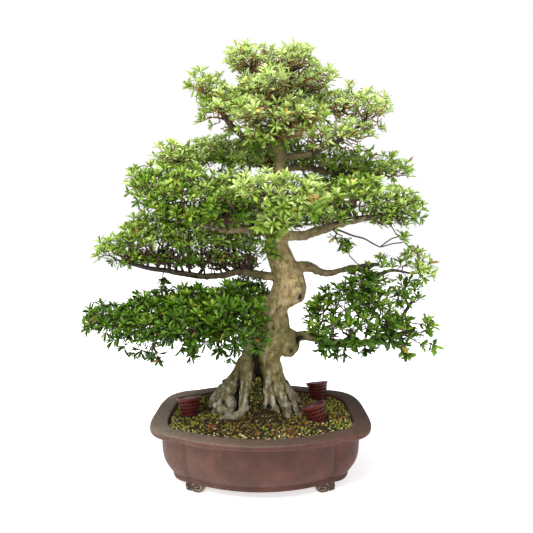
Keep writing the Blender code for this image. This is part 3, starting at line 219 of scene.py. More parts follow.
# Whorls that hang or reach out alone: x, y, z, which way they point, and extra freshness, whose negative values are
# painted shade
SPRIGS = {
    "left_low": [(-207, -62, 250, -0.4, -0.4, -0.7, 0.05), (-123, -80, 262, 0.1, -0.6, -0.7, 0.1),
        (-196, -62, 242, 0.3, -0.5, -0.7, 0.0), (-338, -46, 322, -0.9, 0.0, 0.4, 0.15),
        (-328, -52, 300, -0.9, 0.0, -0.1, 0.05), (-40, -86, 262, 0.2, -0.5, -0.8, 0.1),
        (-8, -74, 262, 0.3, -0.5, -0.8, 0.25), (6, -70, 282, 0.5, -0.6, -0.3, 0.25)],
    "left_second": [(-191, -20, 388, -0.1, -0.2, -1.0, 0.1), (-318, -24, 436, -0.9, 0.0, 0.2, 0.15),
        (-20, 0, 418, 0.3, -0.2, 0.9, 0.0), (-4, -4, 398, 0.6, -0.3, -0.6, 0.1),
        (-44, -34, 424, 0.3, -0.6, 0.6, -0.12), (-84, -36, 430, 0.1, -0.7, 0.5, -0.12),
        (-118, -44, 420, -0.2, -0.6, 0.5, -0.15), (-150, -40, 424, 0.2, -0.6, 0.6, -0.12),
        (-184, -46, 428, -0.1, -0.7, 0.5, -0.12), (-214, -44, 420, 0.2, -0.6, 0.6, -0.08),
        (-240, -44, 428, -0.2, -0.6, 0.5, -0.05), (-196, -20, 388, 0.2, -0.4, -0.8, 0.1),
        (-262, -34, 416, -0.6, -0.5, 0.3, 0.05)],
    "left_third": [(26, -36, 470, 0.5, -0.5, -0.5, 0.3), (10, -40, 452, 0.2, -0.6, -0.7, 0.2),
        (40, -38, 486, 0.7, -0.5, -0.3, 0.35), (16, -30, 436, 0.3, -0.3, -0.9, 0.15),
        (-50, -66, 492, 0.1, -0.7, 0.2, -0.05), (-82, -82, 500, 0.1, -0.7, 0.2, -0.05),
        (-108, -86, 498, -0.2, -0.7, 0.3, -0.05), (-132, -90, 504, 0.1, -0.7, 0.2, -0.05),
        (-156, -92, 512, -0.2, -0.7, 0.3, -0.02), (-180, -90, 522, -0.3, -0.6, 0.3, 0.0),
        (-204, -80, 534, -0.5, -0.5, 0.3, 0.0)],
    "left_upper": [(-6, 14, 622, 0.1, -0.6, 0.4, 0.0), (-30, 26, 624, -0.2, -0.6, 0.3, -0.05),
        (-54, 30, 628, 0.1, -0.6, 0.4, -0.05), (-78, 34, 630, -0.1, -0.7, 0.2, -0.05),
        (-104, 34, 632, 0.2, -0.6, 0.3, 0.0), (-130, 34, 630, -0.3, -0.6, 0.4, 0.0)],
    "crown_front": [(-22, -26, 658, -0.5, -0.5, 0.5, -0.25), (0, -30, 648, -0.3, -0.6, 0.4, -0.30),
        (22, -34, 652, 0.1, -0.7, 0.4, -0.25), (46, -34, 654, 0.4, -0.5, 0.5, -0.20),
        (-8, -24, 636, -0.4, -0.5, -0.2, -0.30)],
    "right_third": [(160, -34, 449, 0.3, -0.2, -0.9, 0.1), (172, -30, 462, -0.3, -0.2, -0.8, 0.2),
        (146, -30, 470, -0.5, -0.3, -0.6, 0.1), (282, -26, 470, 0.4, 0.0, 0.8, 0.1)],
    "right_second": [(300, -24, 439, 0.1, -0.2, 1.0, 0.40), (292, -10, 432, -0.5, 0.2, 0.8, 0.40),
        (322, -26, 426, 0.3, -0.2, 0.9, 0.42), (336, -20, 416, 0.8, 0.0, 0.5, 0.50),
        (334, -34, 398, 0.8, -0.4, -0.2, 0.55), (318, -8, 412, 0.2, 0.5, 0.8, 0.45),
        (326, -16, 388, 0.5, 0.1, -0.8, 0.60), (278, -24, 418, -0.2, -0.4, 0.8, 0.25),
        (262, -20, 410, -0.3, -0.5, 0.7, 0.20), (258, -22, 386, 0.1, -0.2, -1.0, 0.45),
        (173, -30, 437, -0.5, -0.3, 0.8, 0.40), (310, -30, 404, 0.4, -0.7, 0.4, 0.42),
        (240, -16, 424, -0.4, 0.0, 0.9, 0.25)],
    "right_low": [(147, -30, 241, -0.2, -0.3, -0.9, 0.0), (206, -32, 250, 0.2, -0.2, -0.9, 0.0),
        (292, -24, 240, 0.3, -0.2, -0.9, 0.45), (318, -22, 256, 0.8, 0.0, -0.4, 0.3),
        (336, -20, 292, 0.8, 0.0, 0.5, 0.2), (328, -14, 280, 0.9, 0.2, -0.2, 0.15),
        (324, -28, 300, 0.4, -0.4, 0.8, 0.15), (112, -24, 338, -0.5, -0.2, 0.8, 0.0),
        (108, -20, 318, -0.8, -0.2, 0.4, 0.0)],
    "crown_left": [(-146, -10, 772, -0.8, 0.0, 0.6, 0.1), (-120, -14, 700, -0.5, -0.3, 0.7, 0.0)],
    "crown_right": [(238, -12, 690, 0.9, 0.0, 0.2, 0.1), (208, -20, 640, 0.6, -0.2, -0.3, 0.0),
        (252, -12, 738, 0.8, 0.0, 0.6, 0.1)],
}


@dataclass(frozen=True)
class Habit:
    """How one spray grows.

    Its fields are the leaves' freshness, how far its gaps reach, the scale of
    leaves and spacing, how far down its underside is bare, the share of whorls
    inside it, how leafy its sides are, and bare twigs for each whorl.
    """

    fresh: float
    gaps: float = -0.30
    scale: float = 1.0
    bare_below: float = -0.10
    inner: float = 0.16
    side: float = 1.0
    bare: float = 0.6


# Each spray's habit, from deep green low pads to the bright open crown, whose pale green is partly young leaves and
# partly painted light of the bright haze over it
HABITS = {
    "left_low": Habit(0.17, -0.34, 1.0, -0.55, 0.16, 1.3, 1.2),
    "left_second": Habit(0.56, -0.42, 0.90, -0.30, 0.14, 0.62, 5.6),
    "left_third": Habit(0.53, -0.36, 0.92, -0.42, 0.18, 1.0, 3.0),
    "left_upper": Habit(0.78, -0.30, 0.88, -0.50, 0.20, 1.3, 1.8),
    "front_middle": Habit(0.82, -0.30, 1.0, -0.55, 0.16, 1.2),
    "right_third": Habit(0.60, -0.22, 0.95, -0.42, 0.16, 1.1, 1.2),
    "right_upper": Habit(0.60, -0.24, 0.90, -0.35, 0.16, 1.1),
    "right_second": Habit(0.24, -0.20, 1.0, -0.6),
    "right_low": Habit(0.26, -0.06, 1.12, -0.7, 0.22, 1.5),
    "crown_left": Habit(0.78, -0.06, 0.84, -0.1, 0.1, 0.6, 1.8),
    "crown_top": Habit(1.04, -0.12, 0.82, 0.0, 0.1, 0.45, 1.5),
    "crown_front": Habit(0.84, -0.04, 0.84, 0.0, 0.14, 0.45, 1.4),
    "crown_right": Habit(0.84, 0.02, 0.82, 0.0, 0.1, 0.38, 1.8),
    "crown_back": Habit(0.70, -0.06, 0.88, -0.05, 0.1, 0.4, 1.4),
    "back_low": Habit(0.24, -0.30, 1.0, -0.40), "back_middle": Habit(0.44, -0.30, 0.95),
    "back_right": Habit(0.50, -0.25, 0.95), "back_upper": Habit(0.60, -0.25, 0.90),
}


def linear(code: str) -> tuple[float, float, float, float]:
    """Turn an sRGB hex colour into linear values.

    Args:
        code: The colour as a hash sign and six hex digits.

    Returns:
        Linear red, green and blue, and an alpha of one.
    """
    shares = [int(code[start:start + 2], 16) / 255 for start in (1, 3, 5)]
    red, green, blue = [s / 12.92 if s <= 0.04045 else ((s + 0.055) / 1.055) ** 2.4 for s in shares]
    return red, green, blue, 1.0


def set_sockets(tree: Tree, node: bpy.types.Node, sockets: dict) -> None:
    """Set a node's inputs.

    Args:
        tree: The node tree.
        node: The node.
        sockets: Input name or number to a value, a hex colour or an output to link.
    """
    for key, value in sockets.items():
        if isinstance(value, Socket):
            tree.links.new(value, node.inputs[key])
        else:
            node.inputs[key].default_value = linear(value) if isinstance(value, str) else value


def add_node(tree: Tree, kind: str, sockets: dict | None = None, stops: tuple = (), **settings: object) -> Socket:
    """Add one node with its settings, values and links.

    Args:
        tree: The node tree that it goes into.
        kind: The node's type name, without the word ShaderNode.
        sockets: What set_sockets takes.
        stops: A colour ramp's places and hex colours or grey values.
        settings: The node's own properties.

    Returns:
        The output that other nodes read.
    """
    node = tree.nodes.new("ShaderNode" + kind)
    for key, value in settings.items():
        setattr(node, key, value)
    for index, (place, colour) in enumerate(stops):
        elements = node.color_ramp.elements
        element = elements[index] if index < len(elements) else elements.new(place)
        element.position = place
        element.color = linear(colour) if isinstance(colour, str) else (colour, colour, colour, 1.0)
    set_sockets(tree, node, sockets or {})
    return node.outputs[OUTPUTS.get(settings.get("data_type", kind), 0)]


def grains(vector: Socket, size_mm: float, detail: float = 2.0, roughness: float = 0.5) -> dict:
    """Work out a noise's sockets from the real size of its lumps.

    Args:
        vector: The coordinates.
        size_mm: How large the lumps are.
        detail: How many finer layers lie on them.
        roughness: How strong those are.

    Returns:
        The sockets for add_node.
    """
    return {"Vector": vector, "Scale": 1 / (size_mm * MM), "Detail": detail, "Roughness": roughness}


class Finish:
    """A finish of the model, named for the real material."""

    def make(self) -> Material:
        """Return the material with its one Principled shader."""
        material = bpy.data.materials.new(self.title)
        material.use_nodes = True
        tree = material.node_tree
        set_sockets(tree, tree.nodes["Principled BSDF"], self.recipe(tree))
        return material


@dataclass(frozen=True)
class Stoneware(Finish):
    """Unglazed iron-rich stoneware, fired in reduction and rubbed with oil.

    It gives a soft low sheen on a fine sandy skin, cloudy brown patches from
    the kiln, and a pale mineral bloom where water has dried on it. Its dust
    film is painted paler towards the pot's left end as painted light, and the
    bloom colour also paints a highlight on the ridges of the feet.
    """

    title: str = "unglazed_stoneware"
    body: str = "#4e2a22"
    dark: str = "#371d17"
    pale: str = "#613b31"
    grime: str = "#4a4138"
    dust: str = "#7a6e62"
    # Mineral bloom colour, also used as a painted highlight on the ridges of the feet
    bloom_and_highlight: str = "#b0a593"
    roughness: float = 0.56
    sand_mm: float = 0.9
    cloud_mm: float = 38.0
    patch_mm: float = 7.0

    def recipe(self, tree: Tree) -> dict:
        """Return the shader's inputs, which read the pot's own marks."""
        where = add_node(tree, "TexCoord")
        level = add_node(tree, "Mapping", {"Vector": where, "Scale": (1.0, 1.0, 0.8)})
        clouds = add_node(tree, "TexNoise", grains(level, self.cloud_mm, 7.0, 0.66))
        sand = add_node(tree, "TexNoise", grains(where, self.sand_mm, 3.0, 0.7))
        patches = add_node(tree, "TexNoise", grains(where, self.patch_mm, 6.0, 0.7))
        dust_and_left_light, bloom_and_highlight_share, pale = (add_node(tree, "Attribute", attribute_name=name) for name in ("dust", "bloom_and_highlight", "pale"))
        base = add_node(tree, "ValToRGB", {"Fac": clouds},
                        ((0.30, self.dark), (0.50, self.body), (0.72, self.pale)))
        speckle = add_node(tree, "ValToRGB", {"Fac": sand}, ((0.30, 0.55), (0.5, 0.80), (0.70, 1.0)))
        mottled = add_node(tree, "Mix", {0: 0.55, 6: base, 7: speckle}, data_type="RGBA", blend_type="MULTIPLY")
        streaky = add_node(tree, "MapRange", {"Value": patches, "From Min": 0.35, "From Max": 0.65,
                                              "To Min": 0.55, "To Max": 1.25})
        # The dust mark and the pale choice of film colour hold real dust and also painted light on the pot's left
        # end
        cover = add_node(tree, "Math", {0: dust_and_left_light, 1: streaky}, operation="MULTIPLY")
        dirt_and_left_light = add_node(tree, "Mix", {0: pale, 6: self.grime, 7: self.dust}, data_type="RGBA")
        film = add_node(tree, "Mix", {0: cover, 6: mottled, 7: dirt_and_left_light}, data_type="RGBA")
        # The bloom mark is real mineral bloom, plus a painted highlight on the feet's ridges
        share = add_node(tree, "Math", {0: patches, 1: bloom_and_highlight_share}, operation="MULTIPLY")
        mask = add_node(tree, "ValToRGB", {"Fac": share}, ((0.30, 0.0), (0.62, 0.9)))
        colour = add_node(tree, "Mix", {0: mask, 6: film, 7: self.bloom_and_highlight}, data_type="RGBA")
        gloss = add_node(tree, "MapRange", {"Value": clouds, "To Min": self.roughness - 0.1,
                                            "To Max": self.roughness + 0.14})
        bump = add_node(tree, "Bump", {"Height": sand, "Strength": 0.35, "Distance": 0.25 * MM})
        return {"Base Color": colour, "Roughness": gloss, "Specular IOR Level": 0.22, "Normal": bump}


@dataclass(frozen=True)
class Bark(Finish):
    """Old azalea bark: thin smooth skin over long sinews of wood.

    It is matt, tan and olive with mauve patches where it has flaked, pale
    lichen specks, green algae on the shaded side and silvery bare roots. The
    algae colour also paints shade on the trunk's left side and legs, hollows
    and creases are painted near black as shade, and ridges get a painted
    highlight.
    """

    title: str = "azalea_bark"
    tan: str = "#b2a378"
    olive: str = "#837649"
    shade: str = "#463c24"
    mauve: str = "#86655a"
    lichen: str = "#c2c3a6"
    # Algae green, also used as painted shade on the trunk's left side and legs
    algae_and_shade: str = "#3f4716"
    silver: str = "#9a9585"
    # Painted highlight colour for the ridges of roots and bark
    worn: str = "#d2d0c4"
    # Mud at the root feet, also used as painted shade on the left leg's shin
    mud_and_shade: str = "#3a2a14"
    limb: str = "#4a4030"
    # Near black painted shade in hollows, valleys and creases
    pit_shade: str = "#100b06"
    fibre_mm: float = 4.2
    crumb_mm: float = 2.4
    blotch_mm: float = 13.0
    patch_mm: float = 15.0
    speck_mm: float = 9.0

    def recipe(self, tree: Tree) -> dict:
        """Return the shader's inputs, which read the wood's own marks."""
        where = add_node(tree, "TexCoord")
        long_way = add_node(tree, "Mapping", {"Vector": where, "Scale": (1.0, 1.0, 0.42)})
        fibres, crumbs, blotches, patches, specks = [
            add_node(tree, "TexNoise", grains(*row))
            for row in ((long_way, self.fibre_mm, 5.0, 0.62), (where, self.crumb_mm, 4.0, 0.7),
                        (where, self.blotch_mm, 6.0, 0.62), (where, self.patch_mm, 5.0, 0.6),
                        (where, self.speck_mm, 6.0, 0.7))]
        marks = {name: add_node(tree, "Attribute", attribute_name=name)
                 for name in ("limb", "root", "algae_and_shade", "pit_shade", "crest_highlight", "mud_and_shade")}
        grain = add_node(tree, "Mix", {0: marks["limb"], 2: fibres, 3: crumbs})
        mottle = add_node(tree, "Mix", {0: 0.62, 2: grain, 3: blotches})
        colour = add_node(tree, "ValToRGB", {"Fac": mottle},
                          ((0.35, self.shade), (0.47, self.olive), (0.59, self.tan)))
        flaked = add_node(tree, "ValToRGB", {"Fac": patches}, ((0.46, 0.0), (0.60, 0.70)))
        speck = add_node(tree, "ValToRGB", {"Fac": specks}, ((0.60, 0.0), (0.68, 0.8)))
        for share, over in ((flaked, self.mauve), (marks["root"], self.silver), (speck, self.lichen),
                            (marks["algae_and_shade"], self.algae_and_shade), (marks["crest_highlight"], self.worn),
                            (marks["limb"], self.limb), (marks["mud_and_shade"], self.mud_and_shade)):
            shaded = add_node(tree, "Mix", {0: 0.36, 6: over, 7: colour}, data_type="RGBA")
            colour = add_node(tree, "Mix", {0: share, 6: colour, 7: shaded}, data_type="RGBA")
        # Painted shade: hollows, valleys and creases go near black
        colour = add_node(tree, "Mix", {0: marks["pit_shade"], 6: colour, 7: self.pit_shade}, data_type="RGBA")
        bump = add_node(tree, "Bump", {"Height": mottle, "Strength": 0.85, "Distance": 1.6 * MM})
        return {"Base Color": colour, "Roughness": 0.82, "Specular IOR Level": 0.12, "Normal": bump}


@dataclass(frozen=True)
class TwigBark(Finish):
    """Young azalea twigs: smooth reddish-brown skin, paler and greener at the tips."""

    title: str = "young_azalea_twig"
    old: str = "#30271a"
    young: str = "#573821"
    tip: str = "#8b5f39"
    mottle_mm: float = 3.0

    def recipe(self, tree: Tree) -> dict:
        """Return the shader's inputs, which read how fine each twig is and how high it grows."""
        fine = add_node(tree, "Attribute", attribute_name="fine")
        mottle = add_node(tree, "TexNoise", grains(add_node(tree, "TexCoord"), self.mottle_mm, 3.0, 0.6))
        spread = add_node(tree, "MapRange", {"Value": mottle, "To Min": -0.25, "To Max": 0.25})
        place = add_node(tree, "Math", {0: fine, 1: spread}, operation="ADD")
        colour = add_node(tree, "ValToRGB", {"Fac": place},
                          ((0.15, self.old), (0.60, self.young), (0.95, self.tip)))
        bump = add_node(tree, "Bump", {"Height": mottle, "Strength": 0.4, "Distance": 0.3 * MM})
        return {"Base Color": colour, "Roughness": 0.6, "Normal": bump}


@dataclass(frozen=True)
class AzaleaLeaf(Finish):
    """Evergreen azalea leaf: thin blade with a soft sheen and a paler midrib.

    Old leaves low on the tree are deep green, young ones at the crown are
    bright yellow green, and a few are turning yellow, orange or red. The
    crown's pale green is partly painted light of the haze over it, and leaves
    deep in the pads or low in them are painted darker as shade.
    """

    title: str = "azalea_leaf_blade"
    old: str = "#274608"
    mature: str = "#4c740c"
    fresh: str = "#86a534"
    young: str = "#bccf80"
    rib: str = "#a6ba60"
    turning: str = "#b9a23c"
    red: str = "#9c5a30"

    def recipe(self, tree: Tree) -> dict:
        """Return the shader's inputs, which read each leaf's own marks."""
        freshness_and_painted_light, tint, along, across = [add_node(tree, "Attribute", attribute_name=name)
                                          for name in ("freshness_and_painted_light", "tint", "along", "across")]
        spread = add_node(tree, "MapRange", {"Value": tint, "To Min": -0.20, "To Max": 0.20})
        tipward = add_node(tree, "MapRange", {"Value": along, "To Min": -0.06, "To Max": 0.06})
        place = freshness_and_painted_light
        for part in (spread, tipward):
            place = add_node(tree, "Math", {0: place, 1: part}, operation="ADD")
        colour = add_node(tree, "ValToRGB", {"Fac": place},
                          ((0.0, self.old), (0.35, self.mature), (0.70, self.fresh), (1.0, self.young)))
        aged = add_node(tree, "ValToRGB", {"Fac": tint}, ((0.984, 0.0), (0.988, 1.0)))
        ageing = add_node(tree, "ValToRGB", {"Fac": tint}, ((0.992, self.turning), (0.997, self.red)))
        colour = add_node(tree, "Mix", {0: aged, 6: colour, 7: ageing}, data_type="RGBA")
        off_rib = add_node(tree, "Math", {0: across}, operation="ABSOLUTE")
        rib = add_node(tree, "ValToRGB", {"Fac": off_rib}, ((0.05, 0.35), (0.16, 0.0)))
        colour = add_node(tree, "Mix", {0: rib, 6: colour, 7: self.rib}, data_type="RGBA")
        slant = add_node(tree, "Math", {0: along, 1: 9.0, 2: off_rib}, operation="MULTIPLY_ADD")
        veins = add_node(tree, "Math", {0: slant, 1: 0.5}, operation="PINGPONG")
        bump = add_node(tree, "Bump", {"Height": veins, "Strength": 0.35, "Distance": 0.4 * MM})
        return {"Base Color": colour, "Roughness": 0.42, "Specular IOR Level": 0.22, "Normal": bump}


@dataclass(frozen=True)
class MossySoil(Finish):
    """Akadama and kanuma clay granules, with moss that grows over and between them."""

    title: str = "mossy_clay_granules"
    # Near black painted shade for the gaps between granules
    gap_shade: str = "#0d0903"
    clay: str = "#4b3310"
    ochre: str = "#8c5c22"
    moss: str = "#4a540c"
    fresh_moss: str = "#afb544"
    pumice: str = "#d8cd9c"
    dust_mm: float = 1.1

    def recipe(self, tree: Tree) -> dict:
        """Return the shader's inputs, which read each granule's own marks."""
        tint, green = [add_node(tree, "Attribute", attribute_name=name) for name in ("tint", "green")]
        dust = add_node(tree, "TexNoise", grains(add_node(tree, "TexCoord"), self.dust_mm, 4.0, 0.7))
        mineral = add_node(tree, "ValToRGB", {"Fac": tint}, ((0.0, self.gap_shade), (0.28, self.clay), (0.62, self.ochre),
                                                             (0.80, self.ochre), (0.88, self.pumice)))
        mossy = add_node(tree, "ValToRGB", {"Fac": tint}, ((0.0, self.gap_shade), (0.25, self.moss),
                                                           (0.80, self.fresh_moss), (0.95, self.pumice)))
        colour = add_node(tree, "Mix", {0: green, 6: mineral, 7: mossy}, data_type="RGBA")
        shade = add_node(tree, "ValToRGB", {"Fac": dust}, ((0.30, 0.45), (0.62, 1.0)))
        colour = add_node(tree, "Mix", {0: 0.7, 6: colour, 7: shade}, data_type="RGBA", blend_type="MULTIPLY")
        bump = add_node(tree, "Bump", {"Height": dust, "Strength": 0.9, "Distance": 0.8 * MM})
        return {"Base Color": colour, "Roughness": 0.95, "Normal": bump}


@dataclass(frozen=True)
class MouldedPlastic(Finish):
    """Injection-moulded polypropylene: even colour, soft gloss, fine moulded skin."""

    title: str
    colour: str
    worn: str
    roughness: float = 0.34
    specular: float = 0.35
    # Near black painted shade for the inside of a lid's slots
    slot: str = "#060302"
    dust_mm: float = 11.0
    skin_mm: float = 1.2

    def recipe(self, tree: Tree) -> dict:
        """Return the shader's inputs, which read where a lid's slots are."""
        where = add_node(tree, "TexCoord")
        dust = add_node(tree, "TexNoise", grains(where, self.dust_mm, 5.0, 0.65))
        skin = add_node(tree, "TexNoise", grains(where, self.skin_mm))
        colour = add_node(tree, "ValToRGB", {"Fac": dust}, ((0.42, self.colour), (0.72, self.worn)))
        slot = add_node(tree, "Attribute", attribute_name="slot")
        # Painted shade in the lid's slots
        colour = add_node(tree, "Mix", {0: slot, 6: colour, 7: self.slot}, data_type="RGBA")
        gloss = add_node(tree, "MapRange", {"Value": dust, "To Min": self.roughness - 0.08,
                                            "To Max": self.roughness + 0.18})
        bump = add_node(tree, "Bump", {"Height": skin, "Strength": 0.12, "Distance": 0.1 * MM})
        return {"Base Color": colour, "Roughness": gloss, "Specular IOR Level": self.specular, "Normal": bump}


@dataclass(frozen=True)
class PressedCake(Finish):
    """Pressed organic fertiliser: crumbly dark cake with paler bits, darkened further as painted shade inside the
    net cup.
    """

    title: str = "pressed_fertiliser_cake"
    # Both colours are darker than the cake itself: painted shade inside the net cup
    dark: str = "#080503"
    light: str = "#1c120c"
    crumb_mm: float = 1.8

    def recipe(self, tree: Tree) -> dict:
        """Return the shader's inputs."""
        crumbs = add_node(tree, "TexNoise", grains(add_node(tree, "TexCoord"), self.crumb_mm, 4.0, 0.7))
        colour = add_node(tree, "ValToRGB", {"Fac": crumbs}, ((0.35, self.dark), (0.68, self.light)))
        bump = add_node(tree, "Bump", {"Height": crumbs, "Strength": 0.9, "Distance": 0.7 * MM})
        return {"Base Color": colour, "Roughness": 0.95, "Normal": bump}


@dataclass(frozen=True)
class WitheredLeaf(Finish):
    """Dead azalea leaves and crumbs of bark: dry, curled, orange brown."""

    title: str = "withered_leaf"
    brown: str = "#5a3318"
    orange: str = "#8c4f22"
    straw: str = "#a98a52"
    spot_mm: float = 2.5

    def recipe(self, tree: Tree) -> dict:
        """Return the shader's inputs, which read each leaf's own tint."""
        tint = add_node(tree, "Attribute", attribute_name="tint")
        spots = add_node(tree, "TexNoise", grains(add_node(tree, "TexCoord"), self.spot_mm, 3.0))
        blend = add_node(tree, "Math", {0: spots, 1: 0.35, 2: tint}, operation="MULTIPLY_ADD")
        colour = add_node(tree, "ValToRGB", {"Fac": blend},
                          ((0.2, self.brown), (0.7, self.orange), (1.1 / 1.2, self.straw)))
        return {"Base Color": colour, "Roughness": 0.75}


@dataclass(frozen=True)
class StudioFloor(Finish):
    """Seamless white paper sweep, lit so that it stays almost white."""

    title: str = "white_paper_floor"
    colour: str = "#f4f4f6"
    lift: float = 0.66
    near: float = 0.35
    far: float = 1.2
    tooth_mm: float = 2.0

    def recipe(self, tree: Tree) -> dict:
        """Return the shader's inputs."""
        where = add_node(tree, "TexCoord")
        tooth = add_node(tree, "TexNoise", grains(where, self.tooth_mm))
        bump = add_node(tree, "Bump", {"Height": tooth, "Strength": 0.05, "Distance": 0.1 * MM})
        away = add_node(tree, "VectorMath", {0: where}, operation="LENGTH")
        lift = add_node(tree, "MapRange", {"Value": away, "From Min": self.near, "From Max": self.far,
                                           "To Min": self.lift, "To Max": 1.0})
        return {"Base Color": self.colour, "Roughness": 0.9, "Emission Color": "#ffffff",
                "Emission Strength": lift, "Normal": bump}


def put(name: str, data: bpy.types.ID) -> bpy.types.Object:
    """Make an object of some data and link it to the scene."""
    item = bpy.data.objects.new(name, data)
    bpy.context.scene.collection.objects.link(item)
    return item


def evaluated(item: bpy.types.Object) -> Mesh:
    """Return the mesh that an object comes to, and remove the object."""
    result = bpy.data.meshes.new_from_object(item.evaluated_get(bpy.context.evaluated_depsgraph_get()))
    bpy.data.objects.remove(item)
    return result


def mesh_of(form: Form, name: str) -> Mesh:
    """Turn a bmesh into a smooth mesh and free the bmesh.

    Args:
        form: The finished shape.
        name: The mesh's name.

    Returns:
        The mesh.
    """
    mesh = bpy.data.meshes.new(name)
    form.to_mesh(mesh)
    form.free()
    mesh.shade_smooth()
    return mesh


def joined(parts: list[Mesh]) -> Form:
    """Put meshes together in one bmesh.

    Args:
        parts: The meshes, which are removed.

    Returns:
        The bmesh.
    """
    form = bmesh.new()
    for part in parts:
        form.from_mesh(part)
        bpy.data.meshes.remove(part)
    return form


def bake(mesh: Mesh, *modifiers: tuple[str, dict]) -> Mesh:
    """Return the mesh that modifiers make of another.

    Args:
        mesh: The mesh to start from, which is removed.
        modifiers: Each modifier's type and its settings.

    Returns:
        The result as a plain mesh.
    """
    item = put(mesh.name, mesh)
    for kind, settings in modifiers:
        modifier = item.modifiers.new(kind, kind)
        for key, value in settings.items():
            setattr(modifier, key, value)
    result = evaluated(item)
    bpy.data.meshes.remove(mesh)
    return result


def loft(rings: Array) -> Form:
    """Extrude a circle from ring to ring and cap both ends.

    Args:
        rings: Points as rings, points in a ring, and x, y, z.

    Returns:
        A closed bmesh with its faces outwards.
    """
    form = bmesh.new()
    ring = bmesh.ops.create_circle(form, segments=rings.shape[1], radius=1.0)["verts"]
    edges = form.edges[:]
    for vert, place in zip(ring, rings[0]):
        vert.co = place
    first = edges
    for points in rings[1:]:
        made = bmesh.ops.extrude_edge_only(form, edges=edges)["geom"]
        new = {item for item in made if isinstance(item, bmesh.types.BMVert)}
        edges = [item for item in made if isinstance(item, bmesh.types.BMEdge) and set(item.verts) <= new]
        ring = [next(edge.other_vert(vert) for edge in vert.link_edges if edge.other_vert(vert) in new)
                for vert in ring]
        for vert, place in zip(ring, points):
            vert.co = place
    for loop in (first, edges):
        bmesh.ops.contextual_create(form, geom=loop)
    bmesh.ops.recalc_face_normals(form, faces=form.faces[:])
    return form


def smooth_path(points: list[tuple[float, ...]] | Array, steps: int) -> Array:
    """Lay a Catmull-Rom curve through rows of numbers.

    Args:
        points: The rows that the curve goes through.
        steps: How many rows replace each step between two of them.

    Returns:
        The rows of the curve.
    """
    rows = np.array([points[0], *points, points[-1]], float)
    result = []
    for p0, p1, p2, p3 in zip(rows, rows[1:], rows[2:], rows[3:]):
        for share in np.arange(steps) / steps:
            result.append(0.5 * (2 * p1 + (p2 - p0) * share + (2 * p0 - 5 * p1 + 4 * p2 - p3) * share ** 2
                                 + (3 * p1 - p0 - 3 * p2 + p3) * share ** 3))
    return np.array([*result, rows[-1]])


def tube_rings(rows: Array, sides: int) -> Array:
    """Set rings of points round a path.

    Args:
        rows: The path's x, y, z and radius.
        sides: Points in each ring.

    Returns:
        The rings, for loft.
    """
    centres = rows[:, :3]
    along = unit_rows(np.gradient(centres, axis=0))
    normal = np.array((0.31, 0.87, 0.38))
    turns = np.linspace(0, 2 * math.pi, sides, endpoint=False)
    rings = []
    for centre, direction, radius in zip(centres, along, rows[:, 3]):
        normal = normal - direction * (normal @ direction)
        normal /= np.linalg.norm(normal)
        across = np.cross(direction, normal)
        spokes = np.outer(np.cos(turns), normal) + np.outer(np.sin(turns), across)
        rings.append(centre + radius * spokes)
    return np.array(rings)


def unit_rows(rows: Array) -> Array:
    """Scale rows of numbers to length one."""
    return rows / np.linalg.norm(rows, axis=1, keepdims=True)


def wobble(points: Array, size: float, seed: float) -> Array:
    """Read smooth noise at many points.

    Args:
        points: Places in millimetres.
        size: The noise's lump size in millimetres.
        seed: A number that picks another pattern.

    Returns:
        One value from about -1 to 1 for each point.
    """
    return np.array([noise.noise(Vector(point) / size + Vector((seed, 2 * seed, -seed)))
                     for point in points])


def set_mark(mesh: Mesh, name: str, values: Array) -> None:
    """Store one number for each vertex under a name that materials read."""
    mark = mesh.attributes.new(name, "FLOAT", "POINT")
    mark.data.foreach_set("value", np.asarray(values, np.float32))


def read_points(mesh: Mesh, what: str = "co") -> Array:
    """Return a mesh's vertex places or normals as rows."""
    values = np.zeros(len(mesh.vertices) * 3, np.float32)
    mesh.vertices.foreach_get(what, values)
    return values.reshape(-1, 3).astype(float)


def hollowness(mesh: Mesh, rounds: int) -> Array:
    """Measure how deep each vertex lies between its neighbours.

    Args:
        mesh: The mesh.
        rounds: How many times the surroundings are averaged; more see wider hollows.

    Returns:
        Millimetres below its surroundings, less than 0 on ridges.
    """
    points = read_points(mesh)
    edges = np.zeros(len(mesh.edges) * 2, np.int32)
    mesh.edges.foreach_get("vertices", edges)
    one, two = edges.reshape(-1, 2).T
    count = np.bincount(edges, minlength=len(points)).astype(float)
    around = points.copy()
    for _ in range(rounds):
        around = np.column_stack([(np.bincount(one, around[two, axis], len(points))
                                   + np.bincount(two, around[one, axis], len(points))) / count
                                  for axis in range(3)])
    return np.sum((around - points) * read_points(mesh, "normal"), axis=1) / MM


def ease(values: Array | float, low: float, high: float) -> Array:
    """Return a soft step from 0 at low to 1 at high."""
    share = np.clip((values - low) / (high - low), 0, 1)
    return share * share * (3 - 2 * share)


